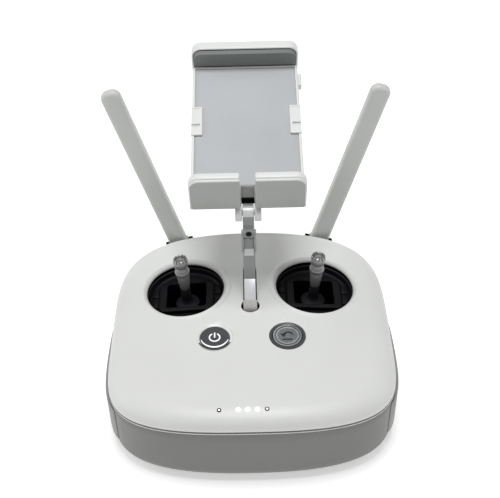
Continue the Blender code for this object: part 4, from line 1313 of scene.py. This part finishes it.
# ------------------------------------------------------------- hidden controls
@dataclass(frozen=True)
class WallButton:
    """A round button on the far wall."""

    name: str
    x: float
    side: Side
    z: float
    radius: float

    def place(self, form: HousingForm) -> Matrix:
        """The button's frame on the wall."""
        return form.wall_place(self.x, self.side.value, self.z)

    def build(self, form: HousingForm) -> None:
        """A dished cap with a rounded edge over its flange."""
        r = self.radius
        profile = [(0, 0.9), (r * 0.5, 1.0), (r - 1.0, 1.4), (r - 0.4, 1.3), (r - 0.05, 0.9),
                   (r - 0.02, -3.8), (r + 1.5, -3.8), (r + 1.5, -5.9), (0, -5.9)]
        cap = settle(add_lathe(self.name + "_cap", profile, 64), Axis.Y.value)
        settle(cap, self.place(form))
        publish(cap, Finishes.CONTROL, self.name, self.name, angle=40)


@dataclass(frozen=True)
class Dial:
    """A knurled wheel that stands out of the far wall."""

    name: str
    side: Side
    x: float = 76.0
    z: float = 33.0
    depth: float = 5.5

    def wall_place(self, form: HousingForm) -> Matrix:
        """The frame on the wall that the wheel's port is cut in."""
        return form.wall_place(self.x, self.side.value, self.z)

    def build(self) -> None:
        """A wheel with a round of rounded teeth and a dished hub."""
        points = []
        for i in range(144):
            turn = 2 * math.pi * i / 144
            radius = 8.32 + 0.26 * math.tanh(3 * math.sin(36 * turn))
            points.append((radius * math.cos(turn), radius * math.sin(turn)))
        wheel = round_edges(add_plate(self.name + "_wheel", points, -2.95, 2.95), 0.25, 2, angle=60)
        cut(wheel, add_lathe("dish", [(0, 4), (6.6, 4), (6.2, 2.3), (0, 2.3)], 48),
            add_rod("bore", 1.7, -5, 5, sides=24))
        settle(wheel, joint_place(self.name + "_turn"))
        publish(wheel, Finishes.CONTROL, self.name, self.name, angle=25)


@dataclass(frozen=True)
class ModeSwitch:
    """The three-way slider on the far wall."""

    x: float = 22.0
    z: float = 30.0

    def place(self, form: HousingForm) -> Matrix:
        """The switch's frame on the wall."""
        return form.wall_place(self.x, 1, self.z)

    def build(self, form: HousingForm) -> None:
        """A grooved knob on its hidden slide plate."""
        knob = round_edges(add_box("mode_slider", (-4.4, -5.0, -2.3), (4.4, 1.6, 2.3)), 0.5, 3)
        for i in range(3):
            low = -2.6 + 2.1 * i
            cut(knob, add_box("groove", (low, 1.1, -4), (low + 0.9, 3, 4)))
        weld(knob, add_box("plate", (-12.9, -6.0, -4.6), (10.9, -4.4, 4.6)))
        settle(knob, self.place(form))
        publish(knob, Finishes.CONTROL, "mode_switch", "mode_switch", angle=30)


@dataclass(frozen=True)
class Socket:
    """A plated rectangular socket let into the far wall."""

    name: str
    x: float
    half: float
    tall: float
    z: float = 18.0

    def corners(self, form: HousingForm) -> tuple[Point3, Point3]:
        """The socket shell's low and high corners."""
        wall_y = form.wall(abs(self.x), 1)[0].y
        return ((self.x - self.half, wall_y - 15.0, self.z - self.tall),
                (self.x + self.half, wall_y - 1.0, self.z + self.tall))

    def port(self, form: HousingForm) -> bpy.types.Object:
        """The cutter for its port."""
        low, high = self.corners(form)
        return add_box("port", (low[0] - 0.3, low[1], low[2] - 0.3),
                       (high[0] + 0.3, high[1] + 9, high[2] + 0.3))

    def build(self, form: HousingForm) -> None:
        """A folded metal shell with its black contact tongue."""
        low, high = self.corners(form)
        shell = round_edges(add_box(self.name + "_shell", low, high), 0.5, 2)
        cut(shell, add_box("mouth", (low[0] + 1, low[1] + 1.5, low[2] + 1),
                           (high[0] - 1, high[1] + 5, high[2] - 1)))
        publish(shell, Finishes.SOCKET, "housing", self.name, angle=30)
        tongue = add_box(self.name + "_tongue", (low[0] + 2, low[1] + 1.2, high[2] - 3.0),
                         (high[0] - 2, high[1] - 3.0, high[2] - 1.6))
        publish(round_edges(tongue, 0.2, 2), Finishes.BLACK, "housing")


@dataclass(frozen=True)
class RearButton:
    """A flat round button in the underside."""

    side: Side

    def build(self) -> None:
        """A dished cap, flush with the underside."""
        profile = [(0, 5.5), (6.6, 5.5), (6.6, 3.4), (5.1, 3.4), (5.1, 0.6), (4.7, 0.32), (4.0, 0.3),
                   (0, 0.9)]
        cap = add_lathe(f"underside_cap_{self.side.word}", profile, 56)
        settle(cap, Matrix.Translation(Vector((self.side.value * 40.0, 30.0, 0)) * MM))
        body = "rear_button_" + self.side.word
        publish(cap, Finishes.CONTROL, body, body, angle=40)


WALL_BUTTONS = (WallButton("record_button", 58.0, Side.LEFT, 19.5, 4.6),
                WallButton("shutter_button", 60.0, Side.RIGHT, 19.5, 5.0),
                WallButton("playback_button", 45.0, Side.RIGHT, 20.0, 3.4))
DIALS = (Dial("gimbal_dial", Side.LEFT), Dial("settings_dial", Side.RIGHT))
SOCKETS = (Socket("usb_socket", -6.0, 6.8, 3.6), Socket("power_socket", 11.5, 5.6, 3.8))


# -------------------------------------------------------- carried-over pieces
CARRIED = {
    "battery_pack": Finishes.WRAP, "main_board": Finishes.BOARD, "battery_light_pipe": Finishes.UNLIT,
    "status_lens": Finishes.UNLIT, "arm_cradle": Finishes.BLACK, "arm_pin": Finishes.STEEL,
    "tilt_pin": Finishes.STEEL, "left_gimbal_frame": Finishes.BLACK, "right_gimbal_frame": Finishes.BLACK,
    "left_stick_shaft": Finishes.STEEL, "right_stick_shaft": Finishes.STEEL,
    "left_antenna_pin": Finishes.STEEL, "right_antenna_pin": Finishes.STEEL,
    "left_antenna_bracket": Finishes.BLACK, "right_antenna_bracket": Finishes.BLACK,
}


def dress_carried() -> None:
    """Give every CAD node that stays in view its finish."""
    for name, finish in CARRIED.items():
        node = frame["nodes"][name]
        node.data.materials.clear()
        node.data.materials.append(finish.material())
        LOG.info("%s dressed as %s", name, finish.name)


# --------------------------------------------------------------------- studio
@dataclass
class Studio:
    """A pale floor, soft lights and the camera."""

    focal: float = 70.56
    camera_at: Point3 = (0.6, -452.0, 514.4)
    look_down: float = 48.0
    roll: float = -1.3
    floor_size: float = 6.0

    def build(self) -> None:
        """Set up floor, world, lights and camera."""
        self.floor()
        self.world()
        self.light("over_light", (0.0, 0.02, 1.65), 0.6, 15.5)
        self.light("left_light", (-1.2, 0.3, 0.9), 0.8, 3.5)
        self.light("right_light", (1.2, 0.3, 0.9), 0.8, 1.2)
        self.camera()
        bpy.context.scene.view_settings.view_transform = "Standard"

    def floor(self) -> None:
        """A plain pale floor under the object."""
        clear_selection()
        bpy.ops.mesh.primitive_plane_add(size=self.floor_size, location=(0, 0, -0.0002))
        floor = settle(new_active("floor"))
        wiring = Wiring("pale_floor")
        wiring.shader.inputs["Base Color"].default_value = (0.95, 0.95, 0.95, 1.0)
        wiring.shader.inputs["Roughness"].default_value = 0.9
        wiring.shader.inputs["Emission Color"].default_value = (1, 1, 1, 1)
        wiring.shader.inputs["Emission Strength"].default_value = 0.42
        floor.data.materials.append(wiring.material)

    def world(self) -> None:
        """Even, faint light from all round."""
        world = bpy.data.worlds.new("soft_room")
        world.use_nodes = True
        world.node_tree.nodes["Background"].inputs["Color"].default_value = (1.0, 1.0, 1.0, 1.0)
        world.node_tree.nodes["Background"].inputs["Strength"].default_value = 0.28
        bpy.context.scene.world = world

    def light(self, name: str, spot: Point3, size: float, power: float) -> None:
        """An area light that points at the object."""
        clear_selection()
        bpy.ops.object.light_add(type="AREA", location=spot)
        lamp = bpy.context.active_object
        lamp.name = name
        lamp.data.size = size
        lamp.data.energy = power
        aim = Vector((0, 0, 0.08)) - Vector(spot)
        lamp.rotation_euler = aim.to_track_quat("-Z", "Y").to_euler()

    def camera(self) -> None:
        """The camera, looking down over the near edge."""
        clear_selection()
        bpy.ops.object.camera_add(location=[value * MM for value in self.camera_at])
        camera = bpy.context.active_object
        turn = Matrix.Rotation(math.radians(self.look_down), 4, "X") @ \
            Matrix.Rotation(math.radians(self.roll), 4, "Z")
        camera.rotation_euler = turn.to_euler()
        camera.data.lens = self.focal
        camera.data.sensor_width = 36.0
        camera.data.sensor_fit = "HORIZONTAL"
        camera.data.clip_start = 0.01
        bpy.context.scene.camera = camera


def write_sizes() -> None:
    """Bring the view layer up to date."""
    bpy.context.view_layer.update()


def main() -> None:
    """Build the dressed transmitter, piece by piece."""
    logging.basicConfig(level=logging.INFO, format="%(name)s: %(message)s")
    Studio().build()
    form = HousingForm()
    housing = Housing(form)
    housing.build()
    LightRow().build(form)
    CaseScrews().build()
    for side in Side:
        StickWell(side, housing).build()
    for kind in ButtonKind:
        TopButton(kind, housing).build()
    FoldingArm().build()
    DeviceClamp().build()
    for side in Side:
        Antenna(side).build()
        RearButton(side).build()
    for control in WALL_BUTTONS:
        control.build(form)
    for dial in DIALS:
        dial.build()
    ModeSwitch().build(form)
    for socket in SOCKETS:
        socket.build(form)
    dress_carried()
    write_sizes()


if __name__ == "__main__":
    main()
